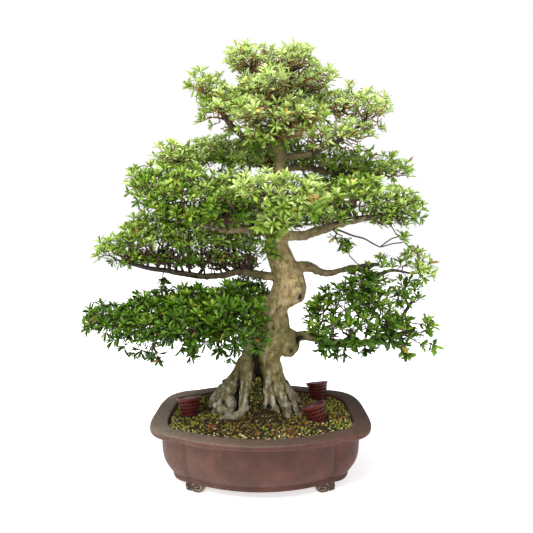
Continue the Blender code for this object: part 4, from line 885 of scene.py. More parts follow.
class Stamp:
    """A small shape that is copied to many places as one mesh."""

    def __init__(self, form: Form) -> None:
        """Keep a bmesh's shape, sharp edges and vertex values as arrays.

        Args:
            form: The shape, which is freed. Its float layers are kept as marks.
        """
        bmesh.ops.triangulate(form, faces=form.faces[:])
        mesh = bpy.data.meshes.new("stamp")
        form.to_mesh(mesh)
        form.free()
        self.points = read_points(mesh)
        self.edges = np.array([edge.vertices[:] for edge in mesh.edges], int)
        self.sharp = np.array([edge.use_edge_sharp for edge in mesh.edges], bool)
        self.loop_points = np.array([loop.vertex_index for loop in mesh.loops], int)
        self.loop_edges = np.array([loop.edge_index for loop in mesh.loops], int)
        self.marks: dict[str, Array] = {}
        for name in ("along", "across"):
            if name in mesh.attributes:
                values = np.zeros(len(mesh.vertices), np.float32)
                mesh.attributes[name].data.foreach_get("value", values)
                self.marks[name] = values
        bpy.data.meshes.remove(mesh)

    @staticmethod
    def spread(name: str, stamps: list["Stamp"], picks: Array, frames: Array,
               places: Array, marks: dict[str, Array]) -> Mesh:
        """Copy stamps to many places.

        Args:
            name: The mesh's name.
            stamps: The shapes to choose from.
            picks: Which shape each copy has.
            frames: Each copy's three by three matrix of turned and scaled axes.
            places: Each copy's place.
            marks: Values that each copy carries on all its vertices.

        Returns:
            One mesh with all the copies.
        """
        points, edges, sharp, loop_points, loop_edges = [], [], [], [], []
        values: dict[str, list] = {key: [] for key in [*stamps[0].marks, *marks]}
        point_start = edge_start = 0
        for index, shape in enumerate(stamps):
            chosen = np.flatnonzero(picks == index)
            count = len(chosen)
            if not count:
                continue
            moved = np.einsum("nij,vj->nvi", frames[chosen], shape.points) + places[chosen][:, None]
            point_base = point_start + len(shape.points) * np.arange(count)
            edge_base = edge_start + len(shape.edges) * np.arange(count)
            points.append(moved.reshape(-1, 3))
            edges.append((shape.edges[None] + point_base[:, None, None]).reshape(-1, 2))
            sharp.append(np.tile(shape.sharp, count))
            loop_points.append((shape.loop_points[None] + point_base[:, None]).ravel())
            loop_edges.append((shape.loop_edges[None] + edge_base[:, None]).ravel())
            for key, mark in shape.marks.items():
                values[key].append(np.tile(mark, count))
            for key, mark in marks.items():
                values[key].append(np.repeat(mark[chosen], len(shape.points)))
            point_start += count * len(shape.points)
            edge_start += count * len(shape.edges)
        mesh = bpy.data.meshes.new(name)
        mesh.vertices.add(point_start)
        mesh.vertices.foreach_set("co", np.concatenate(points).astype(np.float32).ravel())
        mesh.edges.add(edge_start)
        mesh.edges.foreach_set("vertices", np.concatenate(edges).astype(np.int32).ravel())
        corners = np.concatenate(loop_points).astype(np.int32)
        mesh.loops.add(len(corners))
        mesh.loops.foreach_set("vertex_index", corners)
        mesh.loops.foreach_set("edge_index", np.concatenate(loop_edges).astype(np.int32))
        mesh.polygons.add(len(corners) // 3)
        mesh.polygons.foreach_set("loop_start", np.arange(0, len(corners), 3, dtype=np.int32))
        mesh.update()
        mesh.shade_smooth()
        hard = mesh.attributes.new("sharp_edge", "BOOLEAN", "EDGE")
        hard.data.foreach_set("value", np.concatenate(sharp))
        for key, mark in values.items():
            set_mark(mesh, key, np.concatenate(mark))
        return mesh


@dataclass
class Shop:
    """Turns finished meshes into pieces of the model at the pot's place."""

    shift: Vector
    triangles: int = 0

    def piece(self, name: str, mesh: Mesh, material: Material, slot: str,
              *nodes: str) -> bpy.types.Object:
        """Place a mesh, dress it and let it ride on the part.

        Args:
            name: The piece's name.
            mesh: Its mesh, in metres from the pot's middle.
            material: Its finish.
            slot: The name of the finish's slot; it is not used.
            nodes: The CAD nodes that it stands for.

        Returns:
            The piece.
        """
        mesh.transform(Matrix.Translation(self.shift))
        mesh.materials.clear()
        mesh.materials.append(material)
        mesh.name = name
        item = put(name, mesh)
        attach(item, "root")
        if nodes:
            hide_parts(*nodes)
        mesh.calc_loop_triangles()
        self.triangles += len(mesh.loop_triangles)
        LOG.info("%s: %d triangles", name, len(mesh.loop_triangles))
        return item


@dataclass
class MokkoPot:
    """The lobed pot: wall, flat lip, raised line, scroll feet and drain holes."""

    long_radius: float = 308.0
    long_centre: float = 143.0
    short_centre: float = 100.0
    short_length: float = 113.0
    short_depth: float = 128.2
    short_power: float = 3.5
    short_draw: float = 0.90
    long_steps: int = 44
    short_steps: int = 52
    profile: list = field(default_factory=lambda: [
        (56, 16.2), (44, 16.0), (42.6, 16.4), (42.0, 18), (41.6, 21), (42.0, 23.4), (42.4, 24.6), (40.6, 27),
        (37.6, 31), (34.8, 36), (31.6, 41.5), (28.6, 47.5), (26.0, 55), (24.4, 63), (23.4, 72),
        (22.9, 81), (22.7, 89), (22.3, 94.6), (21.0, 95.6), (20.4, 96.8), (20.8, 98.2), (21.8, 99.2),
        (21.2, 101), (17.0, 103.2), (10.0, 104.8), (4.0, 106), (1.6, 107), (0.4, 108.6), (0.0, 110.4),
        (0.0, 113.4), (0.5, 115), (1.6, 116.2), (3.4, 116.9), (8.0, 117), (20.0, 116.6), (28.4, 116.4),
        (30.8, 115.8), (32.0, 114.4), (32.9, 112), (34.5, 100), (39.0, 70), (44.0, 42), (46.5, 33),
        (49, 28.6), (56, 27),
    ])
    foot_top: float = 24.0
    foot_half: float = 23.0
    foot_steps: int = 72
    foot_rows: int = 26
    curl_place: float = 9.5
    curl_rise: float = 10.0
    curl_radius: float = 9.0
    curl_pitch: float = 5.2
    drain_x: float = 85.0
    drain_radius: float = 12.5

    def short_size(self, inset: float) -> tuple[float, float]:
        """Return the half length and half depth of a short lobe's ring."""
        return self.short_length - inset, self.short_depth - self.short_draw * inset

    def corner(self, inset: float) -> tuple[float, float]:
        """Find where a long and a short lobe meet.

        Args:
            inset: How far the ring lies in from the lip's edge.

        Returns:
            The meeting point's x and y.
        """
        length, depth = self.short_size(inset)
        low, high = self.short_centre, self.short_centre + 0.6 * length
        for _ in range(40):
            x = (low + high) / 2
            long_y = math.sqrt((self.long_radius - inset) ** 2 - x * x) - self.long_centre
            share = (x - self.short_centre) / length
            short_y = depth * (1 - share ** self.short_power) ** (1 / self.short_power)
            low, high = (x, high) if long_y > short_y else (low, x)
        return x, short_y

    def long_lobe(self, inset: float, share: float) -> tuple[float, float]:
        """Return a point of the front lobe, from its left to its right corner."""
        radius = self.long_radius - inset
        angle = math.asin(self.corner(inset)[0] / radius) * (2 * share - 1)
        return radius * math.sin(angle), self.long_centre - radius * math.cos(angle)

    def short_lobe(self, inset: float, share: float) -> tuple[float, float]:
        """Return a point of the right lobe, from its front to its back corner."""
        length, depth = self.short_size(inset)
        limit = math.asin((self.corner(inset)[1] / depth) ** (self.short_power / 2))
        angle = limit * (2 * share - 1)
        power = 2 / self.short_power
        return (self.short_centre + length * math.cos(angle) ** power,
                depth * math.copysign(abs(math.sin(angle)) ** power, angle))

    def ring(self, inset: float, long_steps: int = 0, short_steps: int = 0) -> Array:
        """Lay out the pot's lobed outline.

        Args:
            inset: How far it lies in from the lip's edge.
            long_steps: Points along a long lobe, or 0 for the pot's own.
            short_steps: Points along a short lobe, or 0 for the pot's own.

        Returns:
            The outline's x and y, anticlockwise from its front left corner.
        """
        long_count = long_steps or self.long_steps
        short_count = short_steps or self.short_steps
        half = [self.long_lobe(inset, step / long_count) for step in range(long_count)]
        half += [self.short_lobe(inset, step / short_count) for step in range(short_count)]
        return np.array(half + [(-x, -y) for x, y in half])

    def wall(self) -> Form:
        """Return the closed wall, lip and floor."""
        rings = []
        for index, (inset, height) in enumerate(self.profile):
            plan = self.ring(inset)
            corners = plan[[0, self.long_steps, len(plan) // 2, len(plan) // 2 + self.long_steps]]
            near = np.min(np.linalg.norm(plan[:, None] - corners[None], axis=2), axis=1)
            bulge = (1 - np.exp(-(near / 26) ** 2)) * 1.4 - 2.6 * np.exp(-(near / 2.6) ** 2)
            outside = ease(index, 4, 12) * (1 - ease(index, 15, 20))
            plan = plan + unit_rows(plan) * (bulge * outside)[:, None]
            rings.append(np.column_stack((plan, np.full(len(plan), height))) * MM)
        return loft(np.array(rings))

    def scroll(self, along: float, up: float) -> float:
        """Give the relief of the curled clouds on a foot.

        Args:
            along: Place along the foot from -1 to 1.
            up: Place up the foot from 0 to 1.

        Returns:
            Millimetres that the surface stands proud.
        """
        across, rise = along * self.foot_half, up * self.foot_top
        relief = 0.0
        for side in (-1, 1):
            ring = math.hypot(across - side * self.curl_place, rise - self.curl_rise)
            turn = math.atan2(rise - self.curl_rise, side * across - self.curl_place)
            fade = math.exp(-(ring / self.curl_radius) ** 4)
            relief += fade * (1.3 + 1.1 * math.cos(2 * math.pi * ring / self.curl_pitch - turn))
        return relief

    def foot(self, flip_x: int, flip_y: int) -> Form:
        """Model one scroll foot round a corner of the base.

        Args:
            flip_x: 1 for the right side, -1 for the left.
            flip_y: 1 for the front, -1 for the back.

        Returns:
            The foot as a closed bmesh.
        """
        rings = []
        for row in range(self.foot_rows):
            up = row / (self.foot_rows - 1)
            spread = float(ease(up, 0.12, 0.95))
            reach = 0.70 + 0.30 * spread + 0.03 * math.sin(9.0 * up)
            toe = math.exp(-((up - 0.16) / 0.22) ** 2)
            outer, inner, lifts = [], [], []
            for step in range(self.foot_steps + 1):
                along = 2 * step / self.foot_steps - 1
                wave = self.scroll(along * reach, up) + 1.5 * toe - 1.6 * (up < 0.03)
                wave -= 2.4 * ease(abs(along), 0.86, 1.0)
                lifts.append(4.5 * abs(along) ** 3 * (1 - up))
                if along < 0:
                    outer.append(self.long_lobe(44.2 - wave, 1 + 0.142 * along * reach))
                    inner.append(self.long_lobe(60.0, 1 + 0.130 * along * reach))
                else:
                    outer.append(self.short_lobe(44.2 - wave, 0.066 * along * reach))
                    inner.append(self.short_lobe(60.0, 0.060 * along * reach))
            plan = np.array(outer + inner[::-1]) * (flip_x, flip_y)
            rings.append(np.column_stack((plan, up * self.foot_top + np.array(lifts + lifts[::-1]))) * MM)
        return loft(np.array(rings))

    def build(self, shop: Shop, finish: Material) -> None:
        """Join wall and feet, cut the drain holes and publish the pot.

        Args:
            shop: Where pieces are published.
            finish: The stoneware material.
        """
        wall = mesh_of(self.wall(), "pot_wall")
        cutters = bmesh.new()
        for side in (1, -1):
            made = bmesh.ops.create_cone(cutters, cap_ends=True, segments=40, radius1=self.drain_radius * MM,
                                         radius2=self.drain_radius * MM, depth=60 * MM)
            bmesh.ops.translate(cutters, verts=made["verts"], vec=(side * self.drain_x * MM, 0.0, 0.02))
        tool = put("drain_cutter", mesh_of(cutters, "drain_cutter"))
        wall = bake(wall, ("BOOLEAN", {"operation": "DIFFERENCE", "object": tool, "solver": "EXACT"}))
        bpy.data.objects.remove(tool)
        feet = [mesh_of(self.foot(flip_x, flip_y), "foot") for flip_x in (1, -1) for flip_y in (1, -1)]
        mesh = mesh_of(joined([wall, *feet]), "pot")
        mesh.set_sharp_from_angle(angle=math.radians(38))
        places = read_points(mesh) / MM
        x, y, z = places.T
        low = 1 - ease(z, 14, 24)
        stain = np.exp(-((x + 58) / 9) ** 2) * (y < -60) * (z < 60)
        rim = ease(z, 114.4, 116.4)
        ledge = np.exp(-((z - 30) / 6) ** 2)
        seam = np.exp(-((z - 102.5) / 1.6) ** 2) * np.clip(0.5 + wobble(places, 18.0, 2.2), 0, 1)
        under = z < 15.6
        # The ridges of the scroll feet under the pot take the bloom colour as a painted highlight
        curls = np.clip(-hollowness(mesh, 3) * 3.0, 0, 1) * under
        bloom_and_highlight = 0.30 + 0.10 * low + 0.25 * stain + 0.10 * ledge + 0.5 * seam + 0.6 * curls
        set_mark(mesh, "bloom_and_highlight", np.clip(bloom_and_highlight, 0, 1.3))
        # Towards the pot's left end the dust film is thicker and paler: painted light of the lamp on that side,
        # laid over real dust on the rim, the ledge and the feet
        leftward = np.clip(0.5 - 0.5 * x / 213, 0, 1) ** 2
        dust = 0.04 + (0.50 + 0.50 * leftward) * rim + 0.08 * ledge + 0.5 * under
        dust = dust + 0.34 * leftward ** 2 * (1 - rim)
        set_mark(mesh, "pale", np.clip(1 - rim - under + leftward * 1.2 * rim, 0, 1))
        set_mark(mesh, "dust", np.clip(dust, 0, 1))
        shop.piece("pot", mesh, finish, "stoneware", "pot")


@dataclass
class SoilBed:
    """The soil in the pot: a mounded bed, granules, moss and fallen leaves."""

    pot: MokkoPot
    edge_inset: float = 33.6
    edge_height: float = 109.0
    rise: float = 11.0
    back_rise: float = 3.0
    rise_length: float = 20.0
    rings: int = 46
    granules: int = 7000
    heap_clumps: int = 640
    heap_x: float = -8.0
    heap_rise: float = 80.0
    mound: tuple = (10, -48, 29, 22, 20)
    ochre_spots: tuple = ((155, -37, 18), (78, -66, 13), (-46, -98, 11), (26, -98, 12))
    drifts: tuple = ((150, -28, 12), (84, -66, 9), (2, -76, 7), (-84, -40, 10), (136, 30, 14), (-30, -82, 12))
    seed: int = 17

    def height(self, x: Array, y: Array, depth_in: Array) -> Array:
        """Give the soil's height in millimetres.

        Args:
            x: Places along the pot.
            y: Places across it.
            depth_in: How far each lies in from the soil's edge.

        Returns:
            The heights.
        """
        rise = self.rise + self.back_rise * y / 128.2
        bumps = np.sin(0.061 * x + 1.3) * np.sin(0.073 * y + 0.4) + 0.6 * np.sin(0.143 * x - 0.089 * y)
        mound_x, mound_y, wide, deep, high = self.mound
        mound = high * np.exp(-((x - mound_x) / wide) ** 2 - ((y - mound_y) / deep) ** 2)
        return self.edge_height + rise * (1 - np.exp(-depth_in / self.rise_length)) + 1.2 * bumps + mound

    def bed(self) -> Mesh:
        """Return the closed body of soil with its lumpy top."""
        under = [(56.4, 27.7), (46.5, 33.4), (self.edge_inset + 0.3, 108.4)]
        rings = []
        for inset, height in under:
            plan = self.pot.ring(inset, 40, 44)
            rings.append(np.column_stack((plan, np.full(len(plan), height))))
        edge = rings[-1]
        for share in np.linspace(0.992, 0.01, self.rings) ** 1.15:
            x, y = edge[:, 0] * share, edge[:, 1] * share
            top = self.height(x, y, (1 - share) * np.hypot(edge[:, 0], edge[:, 1]))
            top += 1.1 * wobble(np.column_stack((x, y, 0 * x)), 6.0, 3.1)
            rings.append(np.column_stack((x, y, top - 1.2)))
        mesh = mesh_of(loft(np.array(rings) * MM), "soil")
        points = read_points(mesh) / MM
        # The bed under the granules takes mostly the near-black gap colour: painted shade between the granules
        set_mark(mesh, "tint", 0.05 + 0.08 * wobble(points, 5.0, 7.7))
        set_mark(mesh, "green", np.clip(0.5 + 0.9 * wobble(points, 38.0, 1.9), 0, 1))
        return mesh

    def grain(self, index: int) -> Stamp:
        """Return one of a few lumpy granule shapes."""
        form = bmesh.new()
        bmesh.ops.create_icosphere(form, subdivisions=1, radius=1.0)
        for vert in form.verts:
            vert.co *= 1 + 0.3 * noise.noise(vert.co * 1.7 + Vector((index * 3.3, 0.0, 0.0)))
        return Stamp(form)

    def scatter(self, count: int, rng: Rng) -> tuple[Array, Array]:
        """Pick places all over the soil's top.

        Args:
            count: How many places to try.
            rng: The seeded random source.

        Returns:
            The places in millimetres and how far each lies in from the edge.
        """
        edge = self.pot.ring(self.edge_inset + 1.0, 40, 44)
        angles = np.arctan2(edge[:, 1], edge[:, 0])
        order = np.argsort(angles)
        reach = np.hypot(edge[:, 0], edge[:, 1])[order]
        turn = rng.uniform(-math.pi, math.pi, 3 * count)
        limit = np.interp(turn, angles[order], reach, period=2 * math.pi)
        keep = rng.uniform(0, 1, len(turn)) < (limit / reach.max()) ** 2
        turn, limit = turn[keep][:count], limit[keep][:count]
        share = np.sqrt(rng.uniform(0, 1, len(turn)))
        x, y = limit * share * np.cos(turn), limit * share * np.sin(turn)
        depth_in = limit * (1 - share)
        return np.column_stack((x, y, self.height(x, y, depth_in) - 1.2)), depth_in

    def clear_of_baskets(self, places: Array) -> Array:
        """Say which places lie outside the baskets."""
        clear = np.ones(len(places), bool)
        for x, y, *_ in FertiliserBasket.PLACES.values():
            clear &= np.hypot(places[:, 0] - x, places[:, 1] - y) > 21.5
        return clear

    def moss_heap(self, rng: Rng) -> tuple[Array, Array]:
        """Pile moss clumps up in the cleft between the two legs.

        Args:
            rng: The seeded random source.

        Returns:
            The clumps' places and sizes in millimetres.
        """
        up = rng.uniform(0, 1, self.heap_clumps) ** 1.5
        spread = rng.normal(0, 1, (self.heap_clumps, 2))
        x = self.heap_x + (15 - 10 * up) * np.clip(spread[:, 0], -1.3, 1.3) * 0.8
        y = -50 + 28 * up + (2.5 + 4 * (1 - up)) * np.clip(spread[:, 1], -1.2, 1.2)
        return np.column_stack((x, y, 112 + self.heap_rise * up)), rng.uniform(1.4, 3.0, self.heap_clumps)

    def granule_mesh(self, rng: Rng) -> Mesh:
        """Return clay granules and moss clumps over the whole bed."""
        places, depth_in = self.scatter(self.granules, rng)
        keep = self.clear_of_baskets(places)
        places, depth_in = places[keep], depth_in[keep]
        count = len(places)
        x, y = places[:, 0], places[:, 1]
        green = np.clip(0.50 + 1.2 * wobble(places * (1, 1, 0), 34.0, 1.9), 0, 1)
        green = np.where(np.abs(x) > 120, np.maximum(green, 0.75), green)
        near_trunk = np.exp(-np.hypot((x - 4) / 72, (y + 48) / 40) ** 4)
        kind = rng.uniform(0, 1, count)
        size = np.where(kind < 0.50, rng.uniform(0.9, 2.0, count), rng.uniform(1.3, 2.8, count))
        upper = np.where(kind < 0.80, 0.25 + 1.4 * (kind - 0.50), 0.70 + 0.6 * (kind - 0.80))
        # The darker half of the granules runs into the gap colour, partly as painted shade among them
        tint = np.where(kind < 0.50, 0.18 * kind / 0.50, upper)
        # Near the trunk grains are duller and browner, with less moss: partly bare soil and partly painted shade
        # under the tree
        dull_and_shaded = rng.uniform(0, 1, count) < 0.8 * near_trunk
        tint, size = np.where(dull_and_shaded, 0.10 + 0.42 * tint, tint), np.where(dull_and_shaded, 0.8 * size, size)
        green *= 1 - 0.55 * near_trunk
        for spot_x, spot_y, radius in self.ochre_spots:
            spot = np.hypot(x - spot_x, y - spot_y) < radius * rng.uniform(0.0, 1.4, count)
            green = np.where(spot, 0.12, green)
            tint = np.where(spot, np.minimum(0.85 * tint + 0.1, 0.78), tint)
        front = (depth_in < 16) & (y < -40) & (rng.uniform(0, 1, count) < 0.22)
        tint = np.where(front | (rng.uniform(0, 1, count) < 0.035), 0.99, tint)
        heap, heap_size = self.moss_heap(rng)
        places = np.concatenate((places + np.column_stack((np.zeros((count, 2)), size * 0.25)), heap))
        # Low tints give dark heap clumps in the gap colour: painted shade deep in the cleft
        tint = np.concatenate((tint, rng.uniform(0.15, 0.97, len(heap)) ** 2.2))
        green = np.concatenate((green, np.clip(0.55 + 1.6 * wobble(heap, 11.0, 6.1), 0, 1)))
        size = np.concatenate((size, heap_size))
        count = len(places)
        frames = random_turns(count, rng) * size[:, None, None]
        frames[:, 2, :] *= 0.72
        stamps = [self.grain(index) for index in range(5)]
        return Stamp.spread("granules", stamps, rng.integers(0, 5, count), frames * MM, places * MM,
                            {"tint": tint, "green": green})

    def litter_mesh(self, leaf: Stamp, rng: Rng) -> Mesh:
        """Return fallen leaves that lie on the soil."""
        places, _ = self.scatter(70, rng)
        drifts = np.array(self.drifts, float)[rng.integers(0, len(self.drifts), 46)]
        spots = drifts[:, :2] + rng.normal(0, 1, (len(drifts), 2)) * drifts[:, 2:3]
        level = self.height(spots[:, 0], spots[:, 1], np.full(len(spots), 20.0)) - 1.2
        places = np.concatenate((places, np.column_stack((spots, level))))
        places = places[self.clear_of_baskets(places)]
        count = len(places)
        turn = rng.uniform(0, 2 * math.pi, count)
        tilt = rng.uniform(-0.3, 0.3, count)
        out = np.column_stack((np.cos(turn), np.sin(turn), tilt))
        frames = leaf_frames(out, np.tile((0.0, 0.0, 1.0), (count, 1)),
                             rng.uniform(8, 14, count), rng.uniform(1.6, 3.2, count))
        places = places + (0, 0, 2.0)
        return Stamp.spread("litter", [leaf], np.zeros(count, int), frames * MM, places * MM,
                            {"tint": rng.uniform(0, 0.8, count)})

    def build(self, shop: Shop, soil: Material, withered: Material,
              leaf: Stamp) -> None:
        """Publish the bed, its granules and its fallen leaves.

        Args:
            shop: Where pieces are published.
            soil: The soil material.
            withered: The dead leaf material.
            leaf: The leaf shape.
        """
        rng = np.random.default_rng(self.seed)
        shop.piece("soil_bed", self.bed(), soil, "soil", "soil")
        shop.piece("soil_granules", self.granule_mesh(rng), soil, "soil", "soil")
        shop.piece("fallen_leaves", self.litter_mesh(leaf, rng), withered, "soil", "soil")


def random_turns(count: int, rng: Rng) -> Array:
    """Return random rotation matrices."""
    quats = rng.normal(size=(count, 4))
    w, x, y, z = unit_rows(quats).T
    return np.array([[1 - 2 * (y * y + z * z), 2 * (x * y - z * w), 2 * (x * z + y * w)],
                     [2 * (x * y + z * w), 1 - 2 * (x * x + z * z), 2 * (y * z - x * w)],
                     [2 * (x * z - y * w), 2 * (y * z + x * w), 1 - 2 * (x * x + y * y)]]).transpose(2, 0, 1)


def leaf_frames(out: Array, up: Array, length: Array, width: Array) -> Array:
    """Set up the axes of leaves from where they point and face.

    Args:
        out: The way that each leaf points.
        up: Roughly the way that its upper side faces.
        length: Leaf lengths in millimetres.
        width: Leaf widths in millimetres.

    Returns:
        Matrices whose columns are the leaf's length, width and height axes.
    """
    out = unit_rows(out)
    up = up - out * np.sum(up * out, axis=1, keepdims=True)
    up = up / np.maximum(np.linalg.norm(up, axis=1, keepdims=True), 1e-6)
    side = np.cross(up, out)
    return np.stack((out * length[:, None], side * width[:, None], up * length[:, None]), axis=2)


@dataclass
class TreeWood:
    """Trunk, roots and branches: one body with sinews, burl and hollows."""

    voxel_mm: float = 2.15
    thin_radius: float = 4.6
    burl: tuple = (55, -4, 255)
    burl_size: tuple = (25, 23, 30)
    cleft_x: float = -8.0
    cleft_half: float = 14.5
    cleft_depth: float = 18.0
    hollows: tuple = (((79, -15, 262), 14, 10.0), ((26, -37, 291), 5, 2.5), ((75, -24, 352), 8, 5.0),
                      ((44, -38, 262), 7, 3.0), ((60, -22, 243), 8, 4.0))

    def trunk_rings(self) -> Array:
        """Return the fluted trunk as rings in millimetres."""
        rows = smooth_path(TRUNK, 7)
        turns = np.linspace(0, 2 * math.pi, 72, endpoint=False)
        rings = []
        for x, y, z, half_width, half_depth in rows:
            fade = max(0.0, 1 - z / 500)
            flute = 1 + 0.10 * fade * np.cos(5 * turns + 0.009 * z)
            flute += 0.045 * fade * np.cos(11 * turns - 0.02 * z + 1.0)
            flute += 0.05 * math.sin(z / 21.0) * np.cos(2 * turns + z / 60)
            rings.append(np.column_stack((x + half_width * flute * np.cos(turns),
                                          y + half_depth * flute * np.sin(turns),
                                          np.full(len(turns), z))))
        return np.array(rings)

    def limb_rows(self, points: list, steps: int, seed: float) -> Array:
        """Give a root or branch its small bends and knots.

        Args:
            points: The limb's rows from its table.
            steps: How finely to divide it.
            seed: A number that picks its bends.

        Returns:
            The rows of its path.
        """
        rows = smooth_path(points, steps)
        fade = np.minimum(np.linspace(0, 3, len(rows)), 1)
        for axis in range(3):
            rows[:, axis] += 1.3 * fade * wobble(rows[:, :3], 26.0, seed + 5.1 * axis)
        rows[:, 3] *= 1 + 0.12 * fade * wobble(rows[:, :3], 12.0, seed + 40)
        rows[:, 3] = np.maximum(rows[:, 3], 1.2)
        return rows

    def thick_rows(self, points: list) -> int:
        """Return how many of a branch's steps belong to the fused body."""
        return max(0, sum(row[3] >= self.thin_radius for row in points) - 1)

    def outer_limbs(self) -> list[Array]:
        """Return the paths of the branches beyond the fused body."""
        limbs = []
        for index, points in enumerate(BRANCHES.values()):
            start = max(0, 5 * self.thick_rows(points) - 5)
            limbs.append(self.limb_rows(points, 5, index + 20)[start:])
        return limbs

    def body(self) -> Mesh:
        """Return the trunk, roots and main branches fused in one skin."""
        shapes = [loft(self.trunk_rings() * MM)]
        for index, points in enumerate(ROOTS.values()):
            shapes.append(loft(tube_rings(self.limb_rows(points, 5, index), 16) * MM))
        for index, points in enumerate(BRANCHES.values()):
            thick = self.thick_rows(points)
            if thick:
                rows = self.limb_rows(points, 5, index + 20)[:5 * thick + 1]
                shapes.append(loft(tube_rings(rows, 12) * MM))
        ball = bmesh.new()
        bmesh.ops.create_icosphere(ball, subdivisions=3, radius=1.0)
        bmesh.ops.scale(ball, verts=ball.verts, vec=[size * MM for size in self.burl_size])
        bmesh.ops.translate(ball, verts=ball.verts, vec=[place * MM for place in self.burl])
        shapes.append(ball)
        mesh = mesh_of(joined([mesh_of(shape, "limb") for shape in shapes]), "wood")
        return bake(mesh, ("REMESH", {"mode": "VOXEL", "voxel_size": self.voxel_mm * MM}),
                    ("SMOOTH", {"factor": 0.5, "iterations": 3}))

    def carve(self, mesh: Mesh) -> None:
        """Press sinews, knots and hollows into the wood, and mark its parts, with
        painted shade in hollows and creases and a painted highlight on ridges.

        Args:
            mesh: The fused body, changed in place.
        """
        points = read_points(mesh) / MM
        x, y, z = points.T
        normals = read_points(mesh, "normal")
        table = np.array(TRUNK, float)
        axis_x = np.interp(z, table[:, 2], table[:, 0])
        half = np.interp(z, table[:, 2], table[:, 3])
        off = np.where(z > 675, 12.0, np.hypot(x - axis_x, y) - half)
        outward = np.where(z > 540, ease(off, 0, 9), ease(off, 2, 22))
        limb = outward * ease(z, 236, 262)
        root = 1 - ease(z, 150, 226)
        trunk = (1 - limb) * (1 - 0.5 * root)
        sinews = wobble(points * (1, 1, 0.16), 8.5, 2.0)
        fibres = wobble(points * (1, 1, 0.2), 3.4, 9.0)
        lumps = wobble(points, 26.0, 5.0)
        crumbs = wobble(points, 5.0, 12.0)
        push = trunk * (1.25 * sinews + 0.45 * fibres + 1.5 * lumps)
        push += (1 - trunk) * (0.5 * crumbs + 0.45 * lumps + 0.35 * sinews)
        turn = np.arctan2(y - 4, x + 4)
        away = 24 + 0.45 * np.hypot(y - 4, x + 4)
        fan = np.column_stack((np.cos(turn) * away, np.sin(turn) * away, 0.16 * z))
        push += root * (2.0 * wobble(points, 12.0, 21.0) + 0.9 * crumbs + 2.6 * wobble(fan, 5.5, 61.0))
        rough_limb = limb * ease(-normals[:, 2], -0.2, 0.8) * (z < 560)
        push += 2.2 * rough_limb * wobble(points, 8.0, 33.0)
        # The bulge and the waist below it on the trunk's right side
        right_face = ease(normals[:, 0], 0.0, 0.8)
        chin = 5.0 * np.exp(-((z - 364) / 17) ** 2) + 5.5 * np.exp(-((z - 345) / 8) ** 2)
        push += right_face * (x > 55) * (1 - ease(x, 93, 100)) * chin
        push -= 3.5 * np.exp(-((z - 322) / 9) ** 2) * right_face
        # Hollows are marked near black as painted shade in their depth
        pit_shade = np.zeros(len(points))
        for centre, radius, depth in self.hollows:
            near = np.linalg.norm((points - centre) * (1, 1, 0.7), axis=1) / radius
            dent = np.clip(1 - near, 0, 1) ** 1.4
            push -= depth * dent
            pit_shade = np.maximum(pit_shade, np.clip(1.5 * dent, 0, 1))
        moved = points + normals * push[:, None]
        # The cleft between the two legs, with moss on its edges and painted shade in its depth
        side = np.abs(x - self.cleft_x - 4.0 * np.sin(z / 23.0))
        facing = ease(-y, 6, 20)
        reach = ease(z, 92, 120) * (1 - ease(z, 236, 268)) * facing
        width = self.cleft_half * (0.75 + 0.25 * np.sin(z / 17.0 + 1.0))
        cleft = np.exp(-(side / width) ** 2) * reach
        moved[:, 1] += self.cleft_depth * cleft
        pit_shade = np.maximum(pit_shade, np.clip(1.15 * cleft * (1 + 0.5 * wobble(points, 6.0, 71.0)) - 0.42, 0, 0.72))
        band = np.exp(-((x + 1) / 15) ** 2) * ease(z, 190, 230) * (1 - ease(z, 275, 325)) * facing
        cleft_edge = np.maximum(np.exp(-((side - 0.8 * width) / 12.0) ** 2) * reach, band)
        mesh.vertices.foreach_set("co", (moved * MM).astype(np.float32).ravel())
        mesh.update()
        depth, broad = hollowness(mesh, 6), hollowness(mesh, 34)
        # Fine valleys and broad creases between the roots are darkened as painted shade
        valley = np.clip((depth - 0.25) / 1.3, 0, 1)
        # Ridges are lightened as a painted highlight
        crest_highlight = np.clip((-depth - 0.2) / 1.2, 0, 1) * (0.7 + 0.9 * wobble(points, 7.0, 81.0))
        crease = np.clip((broad - 0.6) / 2.4, 0, 1) * (1 - ease(z, 170, 270))
